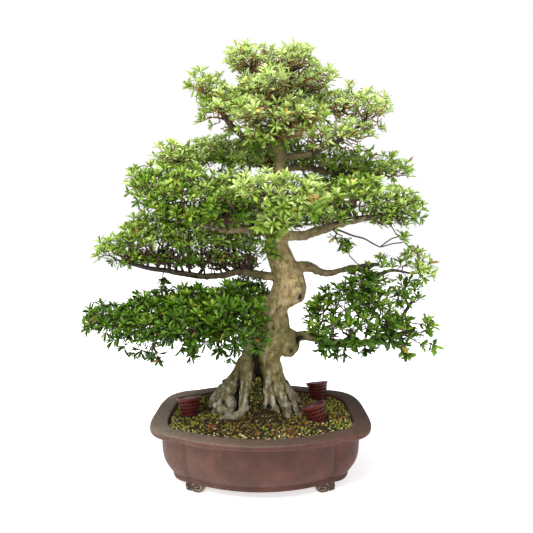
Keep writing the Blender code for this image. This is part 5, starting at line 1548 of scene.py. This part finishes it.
        # Algae on the trunk's left side, in the cleft, on the knob and on the legs; on the left side and the legs
        # the dark green is partly real algae and partly painted shade of the foliage above
        shaded = np.clip(0.45 - 0.85 * normals[:, 0] + 0.1 * normals[:, 1], 0, 1)
        mossy = 0.35 + 0.25 * (1 - ease(z, 290, 350))
        algae_and_shade = shaded * (mossy + 0.85 * np.clip(wobble(points, 17.0, 30.0) + 0.2, 0, 1))
        algae_and_shade *= 0.35 + 0.65 * (1 - ease(z, 180, 560))
        algae_and_shade = np.maximum(algae_and_shade, cleft_edge * (0.7 + 0.6 * wobble(points, 7.0, 44.0)))
        knob = np.exp(-np.hypot((x - 70) / 26, (z - 246) / 25) ** 4)
        low_limb = 0.75 * limb * (x > 80) * (z < 330)
        algae_and_shade = np.maximum(algae_and_shade, np.maximum(low_limb, 1.1 * knob) * (0.85 + 0.5 * wobble(points, 9.0, 57.0)))
        legs = ease(z, 128, 170) * (1 - ease(z, 275, 350))
        legs *= 1 - 0.35 * ease(x, 14, 34) * (1 - ease(z, 215, 240))
        algae_and_shade = np.maximum(algae_and_shade, legs * (0.74 + 0.6 * wobble(points, 11.0, 52.0)) * (1 - 0.6 * crest_highlight))
        silver = (1 - ease(z, 132, 196)) * (0.75 + 0.4 * wobble(points, 14.0, 58.0))
        silver *= 1 - 0.65 * ease(x, -5, 30)
        foot = 1 - ease(z - 22 * ease(x, 0, 30), 110, 136)
        foot *= 0.65 + 0.7 * wobble(points, 8.0, 91.0)
        # The left leg's shin takes the mud colour, partly as painted shade under the foliage
        shin = ease(-x, 4, 16) * ease(z, 140, 165) * (1 - ease(z, 225, 262)) * (1 - root * 0.4)
        foot = np.maximum(foot, 0.62 * shin * (1 - 0.8 * crest_highlight))
        # Crown limbs near the fork are darkened as painted shade
        gloom = limb * ease(z, 640, 655) * (x < 34)
        for name, values, most in (("limb", limb * 0.9, 0.9), ("root", silver, 0.9), ("algae_and_shade", algae_and_shade, 0.85),
                                   ("pit_shade", pit_shade + 0.9 * valley + crease + 0.55 * gloom, 0.95),
                                   ("crest_highlight", crest_highlight * (0.35 + 1.15 * root) * (1 - 0.8 * knob), 1),
                                   ("mud_and_shade", foot, 0.8)):
            set_mark(mesh, name, np.clip(values, 0, most))

    def build(self, shop: Shop, bark: Material) -> None:
        """Publish the trunk with its roots and main branches.

        Args:
            shop: Where pieces are published.
            bark: The bark material.
        """
        mesh = self.body()
        self.carve(mesh)
        shop.piece("trunk_and_main_branches", mesh, bark, "bark", "trunk_and_branches")


@dataclass
class LeafShape:
    """One azalea leaf: a folded, drooping blade that is widest past its middle."""

    droop: float
    fold: float
    twist: float

    STATIONS = ((0.0, 0.13), (0.38, 0.72), (0.74, 1.0), (1.0, 0.16))
    THICKNESS = 0.014
    WIDTH_SHARE = 0.15

    def stamp(self) -> Stamp:
        """Return the leaf as a stamp of unit length and half-width."""
        form = bmesh.new()
        bmesh.ops.create_cone(form, cap_ends=True, segments=4, radius1=1.0, radius2=1.0, depth=1.0)
        upright = [edge for edge in form.edges if abs(edge.verts[0].co.z - edge.verts[1].co.z) > 0.5]
        bmesh.ops.subdivide_edges(form, edges=upright, cuts=len(self.STATIONS) - 2)
        along = form.verts.layers.float.new("along")
        across = form.verts.layers.float.new("across")
        for vert in form.verts:
            station = round((vert.co.z + 0.5) * (len(self.STATIONS) - 1))
            share, width = self.STATIONS[station]
            corner = round(math.atan2(vert.co.y, vert.co.x) / (math.pi / 2)) % 4
            side = (1, 0, -1, 0)[corner]
            deep = (0, 1, 0, -1)[corner]
            raised = self.WIDTH_SHARE * width * (self.fold * abs(side) + self.twist * share * side)
            vert.co = (share - 0.02 * width * abs(side),
                       side * width,
                       -self.droop * share * share + raised
                       + deep * self.THICKNESS * (1 - 0.6 * share))
            vert[along] = share
            vert[across] = side
        for edge in form.edges:
            ends = [vert[across] for vert in edge.verts]
            edge.smooth = not (abs(ends[0]) > 0.5 and ends[0] == ends[1])
        bmesh.ops.recalc_face_normals(form, faces=form.faces[:])
        return Stamp(form)


class Tier(Enum):
    """The rings of leaves at a tip: count, lift, length, freshness and setback."""

    OUTER = ((5, 8), (18, 55), (15.5, 22.5), -0.02, 0.0)
    INNER = ((2, 4), (54, 80), (11.0, 17.0), 0.12, 0.0)
    LOWER = ((0, 3), (-6, 26), (13.0, 19.5), -0.10, 5.5)


@dataclass
class FoliageSpray:
    """One pad of foliage: leaf whorls at the tips of forking twigs."""

    name: str
    leaves: list
    habit: Habit
    seed: int
    spacing: float = 16.0
    inner_spacing: float = 21.0
    tip_reach: float = 14.0
    leaf_width: float = 0.140
    twig_radius: float = 0.92
    twig_sway: float = 5.0

    def lobes(self) -> Array:
        """Return the spray's lobes as rows of numbers."""
        return np.array(LOBES[self.name], float)

    def depth(self, points: Array) -> tuple[Array, Array]:
        """Measure how deep points lie in the pad.

        Args:
            points: Places in millimetres.

        Returns:
            The depth below the pad's skin and the index of the deepest lobe.
        """
        lobes = self.lobes()
        sizes = lobes[:, 3:] - self.tip_reach
        ratio = np.linalg.norm((points[:, None] - lobes[None, :, :3]) / sizes[None], axis=2)
        deep = (1 - ratio) * sizes.min(axis=1)[None]
        return deep.max(axis=1), deep.argmax(axis=1)

    def whorl_places(self, box: Box,
                     rng: Rng) -> tuple[Array, Array, Array]:
        """Spread whorls over the pad's uneven skin and some inside it.

        Args:
            box: The lowest and highest corner that leaf tips keep within.
            rng: The seeded random source.

        Returns:
            The whorls' places, the ways that they point and their extra freshness.
        """
        lobes = self.lobes()
        clouds = []
        for lobe in lobes:
            size = lobe[3:] - self.tip_reach
            count = int(0.8 * (size[0] * size[1] + size[1] * size[2] + size[0] * size[2]))
            unit = unit_rows(rng.normal(size=(count, 3)))
            inner = rng.uniform(0, 1, count) < self.habit.inner
            reach = np.where(inner, rng.uniform(0.35, 0.80, count), 1.0)
            clouds.append(lobe[:3] + unit * size * reach[:, None])
        cloud = np.concatenate(clouds)
        deep, owner = self.depth(cloud)
        size = lobes[owner, 3:] - self.tip_reach
        normal = unit_rows((cloud - lobes[owner, :3]) / size ** 2)
        clumps = wobble(cloud, 24.0, self.seed)
        below = normal[:, 2] < self.habit.bare_below
        aside = rng.uniform(0, 1, len(cloud)) > np.maximum(self.habit.side + 2.0 * normal[:, 2], 0.05)
        keep = ~(below & (rng.uniform(0, 1, len(cloud)) < 0.85)) & (clumps > self.habit.gaps) & ~aside
        cloud, deep, normal, clumps = cloud[keep], deep[keep], normal[keep], clumps[keep]
        skin = np.maximum(0, 1 - deep / 8)
        proud = rng.uniform(-3.0, 3.0, len(cloud)) + 8.0 * clumps
        proud += rng.uniform(4, 15, len(cloud)) * (rng.uniform(0, 1, len(cloud)) < 0.18)
        cloud = cloud + normal * (skin * proud)[:, None]
        order = np.argsort(np.maximum(deep, 3.0) + rng.uniform(0, 3.0, len(deep)))
        taken = np.zeros((len(order), 3))
        axes = np.zeros((len(order), 3))
        count = 0
        for index in order:
            need = self.habit.scale * (self.spacing if deep[index] < 6 else self.inner_spacing)
            gaps = taken[:count] - cloud[index]
            if count and np.min(np.einsum("ij,ij->i", gaps, gaps)) < need * need:
                continue
            taken[count], axes[count] = cloud[index], normal[index]
            count += 1
        axes = axes[:count]
        lift = np.where(axes[:, 2] > -0.35, 0.85, 0.10)
        axes = 0.55 * axes + lift[:, None] * (0.0, 0.0, 1.0) + rng.normal(0, 0.26, (count, 3))
        sprigs = np.repeat(np.array(SPRIGS.get(self.name, ()), float).reshape(-1, 7), 2, axis=0)
        sprigs[1::2, :6] += rng.normal(0, 1, (len(sprigs) // 2, 6)) * (9.0, 7.0, 8.0, 0.5, 0.5, 0.3)
        places = np.concatenate((taken[:count], sprigs[:, :3]))
        axes = np.concatenate((axes, sprigs[:, 3:6]))
        places = np.clip(places, box[0] + (13, 8, 13), box[1] - (13, 8, 14))
        fresh = np.concatenate((np.zeros(count), sprigs[:, 6]))
        return places, unit_rows(axes), fresh

    def bare_places(self, count: int, rng: Rng) -> Array:
        """Pick places inside the pad where old twigs end without leaves.

        Args:
            count: How many twigs to end there.
            rng: The seeded random source.

        Returns:
            The places in millimetres.
        """
        rows = np.array(TANGLES.get(self.name, LOBES[self.name]), float)
        lobes = rows[rng.integers(0, len(rows), count)]
        unit = unit_rows(rng.normal(size=(count, 3)))
        reach = rng.uniform(0.35, 1.05, count)[:, None]
        places = lobes[:, :3] + unit * reach * (lobes[:, 3:] - self.tip_reach)
        return places[places[:, 2] < lobes[:, 2] + 0.45 * lobes[:, 5]]

    def skeleton(self) -> tuple[Array, Array, Array]:
        """Return places along the carrying branches, their path lengths and radii."""
        places, lengths, radii = [], [], []
        for carrier in CARRIERS.get(self.name, (self.name,)):
            rows = smooth_path(BRANCHES[carrier], 4)
            rows = rows[len(rows) // 4:]
            run = np.concatenate(([0], np.cumsum(np.linalg.norm(np.diff(rows[:, :3], axis=0), axis=1))))
            places.append(rows[:, :3])
            lengths.append(run)
            radii.append(rows[:, 3])
        return np.concatenate(places), np.concatenate(lengths), np.concatenate(radii)

    def grow(self, places: Array, axes: Array) -> list[Array]:
        """Fork twigs from the branch out to every whorl.

        Args:
            places: The whorls' places.
            axes: The directions in which the twigs end.

        Returns:
            Paths of x, y, z and radius in millimetres.
        """
        base, base_length, base_radius = self.skeleton()
        nodes = np.zeros((len(base) + 30 * len(places), 3))
        cost = np.zeros(len(nodes))
        parent = np.full(len(nodes), -1)
        count = len(base)
        nodes[:count], cost[:count] = base, 0.25 * base_length
        order = np.argsort([np.min(np.linalg.norm(base - place, axis=1)) for place in places])
        tips = []
        for index in order:
            place, axis = places[index], axes[index]
            offset = place - nodes[:count]
            span = np.linalg.norm(offset, axis=1)
            against = np.maximum(0, -(offset @ axis)) + 0.7 * np.maximum(0, -offset[:, 2])
            start = int(np.argmin(span + 0.60 * cost[:count] + 0.6 * against))
            steps = int(min(12, max(2, round(span[start] / 11))))
            bend = place - axis * 0.38 * span[start]
            last = start
            for step in range(1, steps + 1):
                share = step / steps
                nodes[count] = ((1 - share) ** 2 * nodes[start] + 2 * share * (1 - share) * bend
                                + share * share * place)
                cost[count] = cost[last] + span[start] / steps
                parent[count] = last
                last = count
                count += 1
            tips.append(last)
        sway = np.column_stack([wobble(nodes[len(base):count], 12.0, self.seed + 7.3 * axis)
                                for axis in range(3)])
        sway[np.array(tips) - len(base)] = 0
        nodes[len(base):count] += self.twig_sway * sway
        load = np.zeros(count)
        for tip in tips:
            walk = tip
            while walk >= 0:
                load[walk] += 1
                walk = parent[walk]
        children: dict[int, list[int]] = {}
        for index in range(len(base), count):
            children.setdefault(int(parent[index]), []).append(index)
        paths = []
        starts = [(root, child) for root in range(len(base)) for child in children.get(root, [])]
        while starts:
            root, child = starts.pop()
            limit = base_radius[root] * 0.62 if root < len(base) else 9.0
            chain = [(*nodes[root], min(limit, self.twig_radius * load[child] ** 0.31))]
            walk = child
            while True:
                chain.append((*nodes[walk], min(limit, self.twig_radius * load[walk] ** 0.31)))
                after = sorted(children.get(walk, []), key=lambda node: -load[node])
                if not after:
                    break
                starts += [(walk, other) for other in after[1:]]
                walk = after[0]
            paths.append(np.array(chain))
        return paths

    def leaf_mesh(self, places: Array, axes: Array, extra_fresh_and_shade: Array,
                  box: Box, rng: Rng) -> Mesh:
        """Set the leaves of every whorl.

        Args:
            places: The whorls' places.
            axes: The directions of their twigs.
            extra_fresh_and_shade: How much fresher than its spray each whorl is; negative values are painted shade.
            box: The lowest and highest corner that leaf tips keep within.
            rng: The seeded random source.

        Returns:
            One mesh of all the spray's leaves.
        """
        up = np.array((0.0, 0.0, 1.0))
        one = unit_rows(np.cross(axes, (0.37, 0.61, 0.70)))
        two = np.cross(axes, one)
        deep, owners = self.depth(places)
        # Whorls that point down, lie deep in the pad or sit low in their lobe get darker leaves as painted shade
        light = self.habit.fresh + extra_fresh_and_shade + 0.12 * axes[:, 2] - 0.16 * np.clip(deep / 20, 0, 1)
        lobes = self.lobes()[owners]
        light -= 0.24 * np.clip((lobes[:, 2] - places[:, 2]) / lobes[:, 5] + 0.1, 0, 1)
        light += rng.normal(0, 0.08, len(places))
        vigour = self.habit.scale * rng.uniform(0.84, 1.14, len(places))
        hubs, outs, ups, lengths, fresh = [], [], [], [], []
        for tier in Tier:
            counts, lifts, sizes, extra, setback = tier.value
            amounts = rng.integers(counts[0], counts[1] + 1, len(places))
            owner = np.repeat(np.arange(len(places)), amounts)
            step = np.concatenate([np.arange(amount) for amount in amounts])
            turn = rng.uniform(0, 2 * math.pi, len(places))[owner] + 2 * math.pi * step / amounts[owner]
            turn += rng.normal(0, 0.20, len(owner))
            lift = np.radians(rng.uniform(*lifts, len(owner)))[:, None]
            spoke = np.cos(turn)[:, None] * one[owner] + np.sin(turn)[:, None] * two[owner]
            outs.append(np.cos(lift) * spoke + np.sin(lift) * axes[owner])
            ups.append(np.cos(lift) * axes[owner] - np.sin(lift) * spoke + 0.2 * up
                       + rng.normal(0, 0.16, (len(owner), 3)))
            back = setback * rng.uniform(0.5, 1.6, len(owner))[:, None]
            hubs.append(places[owner] + 0.7 * spoke - back * axes[owner])
            lengths.append(rng.uniform(*sizes, len(owner)) * vigour[owner])
            fresh.append(light[owner] + extra)
        hub, out, length = np.concatenate(hubs), np.concatenate(outs), np.concatenate(lengths)
        width = length * self.leaf_width * rng.uniform(0.8, 1.25, len(hub))
        frames = leaf_frames(out, np.concatenate(ups), length, width)
        tips = hub + frames[:, :, 0]
        keep = np.all((tips > box[0] + 2.5) & (tips < box[1] - (2.5, 2.5, 4.0)), axis=1)
        marks = {"tint": rng.uniform(0, 1, len(hub))[keep], "freshness_and_painted_light": np.concatenate(fresh)[keep]}
        return Stamp.spread("foliage_" + self.name, self.leaves, rng.integers(0, len(self.leaves), keep.sum()),
                            frames[keep] * MM, hub[keep] * MM, marks)

    def build(self, shop: Shop, leaf: Material, box: Box) -> list[Array]:
        """Publish the spray's leaves.

        Args:
            shop: Where pieces are published.
            leaf: The leaf material.
            box: The lowest and highest corner that leaf tips keep within.

        Returns:
            The paths of its twigs.
        """
        rng = np.random.default_rng(self.seed)
        places, axes, fresh = self.whorl_places(box, rng)
        bare = self.bare_places(int(len(places) * self.habit.bare), rng)
        bare_axes = np.tile((0.0, 0.0, 1.0), (len(bare), 1)) + rng.normal(0, 0.5, (len(bare), 3))
        paths = self.grow(np.concatenate((places, bare)), np.concatenate((axes, bare_axes)))
        name = "foliage_" + self.name
        shop.piece(name + "_leaves", self.leaf_mesh(places, axes, fresh, box, rng), leaf, "leaf", name)
        return paths


def twig_mesh(name: str, paths: list[Array], resolution: int, youth: float) -> Mesh:
    """Sweep round sections along many paths.

    Args:
        name: The mesh's name.
        paths: Rows of x, y, z and radius in millimetres.
        resolution: The bevel resolution of the section.
        youth: How young the finest of them look, from 0 to 1.

    Returns:
        One mesh with capped ends and a mark of how fine each twig is, weaker low down as painted shade.
    """
    curve = bpy.data.curves.new(name, "CURVE")
    curve.dimensions = "3D"
    curve.bevel_depth = 1.0
    curve.bevel_resolution = resolution
    curve.use_fill_caps = True
    for path in paths:
        spline = curve.splines.new("POLY")
        spline.points.add(len(path) - 1)
        rows = np.column_stack((path[:, :3] * MM, np.ones(len(path))))
        spline.points.foreach_set("co", rows.astype(np.float32).ravel())
        spline.points.foreach_set("radius", (path[:, 3] * MM).astype(np.float32))
    mesh = evaluated(put(name, curve))
    bpy.data.curves.remove(curve)
    form = joined([mesh])
    bmesh.ops.remove_doubles(form, verts=form.verts[:], dist=1e-6)
    mesh = mesh_of(form, name)
    points = read_points(mesh) / MM
    rows = np.concatenate(paths)
    nearest = nearest_rows(points, rows[:, :3])
    # Twigs low in the tree take less of the tip colour: painted shade under the pads
    young = youth * (0.42 + 0.58 * ease(points[:, 2], 470, 690))
    set_mark(mesh, "fine", young * (1 - ease(rows[nearest, 3], 0.8, 2.6)))
    return mesh


def nearest_rows(points: Array, rows: Array) -> Array:
    """Find the row that lies nearest each point.

    Args:
        points: The points.
        rows: The rows to choose from.

    Returns:
        One row number for each point.
    """
    tree = KDTree(len(rows))
    for index, row in enumerate(rows):
        tree.insert(row, index)
    tree.balance()
    return np.array([tree.find(point)[1] for point in points])


@dataclass
class FertiliserBasket:
    """A lidded net cup on a peg, with a cake of fertiliser inside."""

    name: str
    soil: SoilBed
    holes_round: int = 22
    hole_rows: int = 4
    rib_pinch: float = 0.22
    net_height: float = 30.6

    PLACES = {
        "front_left": (-142, -20, -2.0, 0.0, -3.0, -11.0, 1.0),
        "front_right": (111, -48, -13.0, -8.0, -5.0, -3.0, 5.5),
        "back_right": (124, 70, -2.0, 0.0, -4.0, -14.0, 0.0),
        "back_left": (-62, 88, -3.0, 2.0, 0.0, -4.0, 0.0),
    }

    def frame(self) -> Matrix:
        """Return the matrix that stands the basket in its place, leaning and tipped about its middle."""
        x, y, lean, back, tip_side, tip_back, sunk = self.PLACES[self.name]
        inward = max(0.0, min(213 - abs(x), 150 - abs(y)) - 34)
        height = float(self.soil.height(np.array(x), np.array(y), np.array(inward))) - 3
        turn = Matrix.Rotation(math.radians(lean), 4, "Y") @ Matrix.Rotation(math.radians(back), 4, "X")
        tip = Matrix.Rotation(math.radians(tip_side), 4, "Y") @ Matrix.Rotation(math.radians(tip_back), 4, "X")
        middle = Matrix.Translation(Vector((0.0, 0.0, 17.0)) * MM)
        stand = Matrix.Translation(Vector((x, y, height - sunk)) * MM)
        return stand @ turn @ middle @ tip @ middle.inverted()

    @staticmethod
    def turned(profile: list[tuple[float, float]], sides: int) -> Form:
        """Spin a profile into a closed body.

        Args:
            profile: Radius and height in millimetres; both ends lie on the axis.
            sides: Steps round the axis.

        Returns:
            The closed bmesh.
        """
        form = bmesh.new()
        verts = [form.verts.new((radius * MM, 0.0, height * MM)) for radius, height in profile]
        edges = [form.edges.new(pair) for pair in zip(verts, verts[1:])]
        bmesh.ops.spin(form, geom=verts + edges, cent=(0, 0, 0), axis=(0, 0, 1), angle=2 * math.pi,
                       steps=sides, use_merge=True, use_duplicate=False)
        bmesh.ops.remove_doubles(form, verts=form.verts[:], dist=1e-6)
        bmesh.ops.recalc_face_normals(form, faces=form.faces[:])
        return form

    def net(self) -> Mesh:
        """Return the cup's net wall with its real holes."""
        form = bmesh.new()
        columns, rows = 2 * self.holes_round, 2 * self.hole_rows + 1
        bmesh.ops.create_cone(form, cap_ends=False, segments=columns, radius1=16.0, radius2=22.9,
                              depth=self.net_height)
        upright = [edge for edge in form.edges if abs(edge.verts[0].co.z - edge.verts[1].co.z) > 1]
        bmesh.ops.subdivide_edges(form, edges=upright, cuts=rows - 1)
        holes = []
        for face in form.faces:
            middle = face.calc_center_median()
            row = int((middle.z / self.net_height + 0.5) * rows)
            column = int((math.atan2(middle.y, middle.x) % (2 * math.pi)) / (2 * math.pi) * columns)
            if row % 2 == 1 and column % 2 == 0:
                holes.append(face)
        for vert in form.verts:
            turn = math.atan2(vert.co.y, vert.co.x)
            column = round((turn % (2 * math.pi)) / (2 * math.pi) * columns)
            turn += self.rib_pinch * (2 * math.pi / columns) * (-1 if column % 2 == 0 else 1)
            radius = math.hypot(vert.co.x, vert.co.y)
            vert.co.x, vert.co.y = radius * math.cos(turn), radius * math.sin(turn)
        bmesh.ops.delete(form, geom=holes, context="FACES")
        for vert in form.verts:
            level = (vert.co.z / self.net_height + 0.5) * rows
            vert.co.z += 0.42 * (1 if round(level) % 2 == 0 else -1) * (0 < round(level) < rows)
        bmesh.ops.translate(form, verts=form.verts, vec=(0, 0, 0.8 + self.net_height / 2))
        bmesh.ops.scale(form, verts=form.verts, vec=(MM, MM, MM))
        return bake(mesh_of(form, "net"), ("SOLIDIFY", {"thickness": 1.1 * MM, "offset": -1.0}))

    def build(self, shop: Shop, cup: Material, lid: Material,
              cake: Material) -> None:
        """Publish the cup, its lid and the fertiliser cake.

        Args:
            shop: Where pieces are published.
            cup: The cup's plastic.
            lid: The lid's plastic.
            cake: The fertiliser material.
        """
        frame = self.frame()
        band = [(22.0, 30.2), (22.9, 30.4), (24.0, 31.2), (24.5, 32.4), (24.5, 33.5), (24.2, 34.0),
                (23.5, 34.0), (23.1, 33.4), (22.9, 31.8), (21.8, 31.0), (22.0, 30.2)]
        foot = [(0, -14), (1.3, -9), (3.2, -1.2), (4.2, 0), (14.6, 0), (16.2, 0.5), (16.5, 1.6),
                (15.3, 1.8), (14.4, 1.4), (0, 1.4)]
        form = joined([self.net(), *(mesh_of(self.turned(profile, 44), "part") for profile in (band, foot))])
        bmesh.ops.transform(form, matrix=frame, verts=form.verts)
        mesh = mesh_of(form, "cup")
        mesh.set_sharp_from_angle(angle=math.radians(32))
        shop.piece("net_cup_" + self.name, mesh, cup, "basket", "basket_cup_" + self.name)
        cover = self.turned([(0, 31.5), (21.6, 31.5), (22.2, 31.7), (22.4, 32.1), (22.3, 32.7), (21.8, 33.1),
                             (20.4, 33.1), (19.6, 32.9), (12.0, 33.0), (4.0, 33.1), (0, 33.1)], 48)
        slots = []
        for face in cover.faces:
            middle = face.calc_center_median() / MM
            column = int((math.atan2(middle.y, middle.x) % (2 * math.pi)) / (2 * math.pi) * 48)
            if 13 < math.hypot(middle.x, middle.y) < 18 and middle.z > 32.5 and column % 2 == 0:
                slots.append(face)
        bmesh.ops.inset_individual(cover, faces=slots, thickness=0.12 * MM, depth=-1.1 * MM)
        # The slot grooves are marked to be painted near black as shade of holes through the lid
        slot = cover.verts.layers.float.new("slot")
        for vert in (vert for face in slots for vert in face.verts):
            vert[slot] = 1.0
        bmesh.ops.transform(cover, matrix=frame, verts=cover.verts)
        mesh = mesh_of(cover, "lid")
        mesh.set_sharp_from_angle(angle=math.radians(38))
        shop.piece("lid_" + self.name, mesh, lid, "lid", "basket_lid_" + self.name)
        fill = self.turned([(0, 1.9), (14.4, 1.9), (15.0, 2.6), (17.0, 12), (19.2, 25.6), (18.6, 26.8),
                            (16.0, 27.0), (0, 27.0)], 36)
        for vert in fill.verts:
            vert.co *= 1 - 0.03 * abs(noise.noise(vert.co / (3 * MM)))
        bmesh.ops.transform(fill, matrix=frame, verts=fill.verts)
        shop.piece("fertiliser_cake_" + self.name, mesh_of(fill, "cake"), cake, "fertiliser",
                   "fertiliser_" + self.name)


@dataclass
class DrainNet:
    """The net over a drain hole: crossed plastic strands in a frame."""

    side: int
    size: float = 40.0
    pitch: float = 3.3

    def build(self, shop: Shop, plastic: Material) -> None:
        """Publish the net as one piece.

        Args:
            shop: Where pieces are published.
            plastic: The net's plastic.
        """
        form = bmesh.new()
        count = int(self.size / self.pitch)
        bmesh.ops.create_grid(form, x_segments=count, y_segments=count, size=self.size / 2 * MM)
        bmesh.ops.inset_individual(form, faces=form.faces[:], thickness=0.55 * MM, use_even_offset=True)
        middles = [face for face in form.faces if all(len(vert.link_edges) == 3 for vert in face.verts)]
        bmesh.ops.delete(form, geom=middles, context="FACES")
        name = "right" if self.side > 0 else "left"
        bmesh.ops.translate(form, verts=form.verts, vec=(85 * self.side * MM, 0.0, 28.9 * MM))
        mesh = bake(mesh_of(form, "net"), ("SOLIDIFY", {"thickness": 1.4 * MM, "offset": -1.0}))
        mesh.set_sharp_from_angle(angle=math.radians(30))
        shop.piece("drain_net_" + name, mesh, plastic, "mesh", "drain_mesh_" + name)


@dataclass
class Studio:
    """Pale floor, soft lights and the camera at the photograph's angle."""

    shift: Vector
    ambient: float = 0.46

    def light(self, name: str, place: tuple, aim: tuple, size: float, power: float, tint: str) -> None:
        """Add one soft square light.

        Args:
            name: Its name.
            place: Where it hangs.
            aim: What it points at.
            size: Its side.
            power: Its power in watts.
            tint: Its colour.
        """
        lamp = bpy.data.lights.new(name, "AREA")
        lamp.energy = power
        lamp.size = size
        lamp.color = linear(tint)[:3]
        item = put(name, lamp)
        item.location = place
        item.rotation_euler = (Vector(aim) - Vector(place)).to_track_quat("-Z", "Y").to_euler()

    def build(self) -> None:
        """Set up floor, world, lights and camera."""
        form = bmesh.new()
        bmesh.ops.create_circle(form, cap_ends=True, segments=96, radius=6.0)
        floor = put("floor", mesh_of(form, "floor"))
        floor.data.materials.append(StudioFloor().make())
        floor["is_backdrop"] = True
        world = bpy.data.worlds.new("studio")
        world.use_nodes = True
        tree = world.node_tree
        power = add_node(tree, "MapRange", {"Value": add_node(tree, "LightPath"), "To Min": self.ambient,
                                            "To Max": 1.0})
        set_sockets(tree, tree.nodes["Background"], {"Color": "#ffffff", "Strength": power})
        bpy.context.scene.world = world
        self.light("key", (-1.1, -1.4, 2.2), (0, 0, 0.4), 1.5, 58, "#fffaf2")
        self.light("top", (-0.1, -0.2, 2.6), (0, 0, 0.5), 1.2, 84, "#ffffff")
        self.light("fill", (1.9, -1.7, 1.1), (0, 0, 0.4), 1.6, 2, "#f4f7ff")
        lens = bpy.data.cameras.new("camera")
        lens.sensor_width = 36.0
        lens.lens = 464 / 533 * 36
        lens.shift_y = -31.5 / 533
        lens.clip_end = 50.0
        camera = put("camera", lens)
        camera.location = (self.shift.x + 0.0112, -0.945, 0.473)
        camera.rotation_euler = (math.pi / 2, 0.0, 0.0)
        bpy.context.scene.camera = camera
        bpy.context.scene.view_settings.view_transform = "Standard"


def corners(low: Vector, high: Vector) -> list[list[float]]:
    """Return two corners as plain lists."""
    return [list(low), list(high)]


def main() -> None:
    """Build the studio and every piece of the bonsai in order."""
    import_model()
    solid_box = corners(*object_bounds())
    low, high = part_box("pot")
    shift = Vector(((low.x + high.x) / 2, (low.y + high.y) / 2, 0.0))
    shop = Shop(shift)
    Studio(shift).build()

    pot = MokkoPot()
    pot.build(shop, Stoneware().make())
    leaves = [LeafShape(0.08, 0.50, 0.0).stamp(), LeafShape(0.18, 0.35, 0.4).stamp(),
              LeafShape(-0.04, 0.60, -0.3).stamp(), LeafShape(0.26, 0.40, 0.6).stamp(),
              LeafShape(0.12, 0.70, -0.6).stamp()]
    soil = SoilBed(pot)
    soil.build(shop, MossySoil().make(), WitheredLeaf().make(), leaves[3])
    cup = MouldedPlastic("maroon_net_polypropylene", "#5f1d18", "#70322b", 0.36).make()
    lid = MouldedPlastic("maroon_lid_polypropylene", "#38100d", "#4b1b16", 0.40, 0.14).make()
    cake = PressedCake().make()
    for name in FertiliserBasket.PLACES:
        FertiliserBasket(name, soil).build(shop, cup, lid, cake)
    net = MouldedPlastic("black_net_polyethylene", "#141414", "#2a2a28", 0.45).make()
    for side in (-1, 1):
        DrainNet(side).build(shop, net)

    wood = TreeWood()
    wood.build(shop, Bark().make())
    box = tuple(np.array(corner) / MM - np.array(shift) / MM for corner in solid_box)
    blade = AzaleaLeaf().make()
    paths = []
    for index, name in enumerate(LOBES):
        spray = FoliageSpray(name, leaves, HABITS[name], 100 + index)
        paths += spray.build(shop, blade, box)
    twig = TwigBark().make()
    limbs = twig_mesh("outer_branches", wood.outer_limbs(), 2, 0.35)
    shop.piece("outer_branches", limbs, twig, "bark", "trunk_and_branches")
    shop.piece("twigs", twig_mesh("twigs", paths, 0, 1.0), twig, "bark", "trunk_and_branches")
    LOG.info("all pieces: %d triangles", shop.triangles)


if __name__ == "__main__":
    logging.basicConfig(level=logging.INFO, format="%(message)s")
    main()
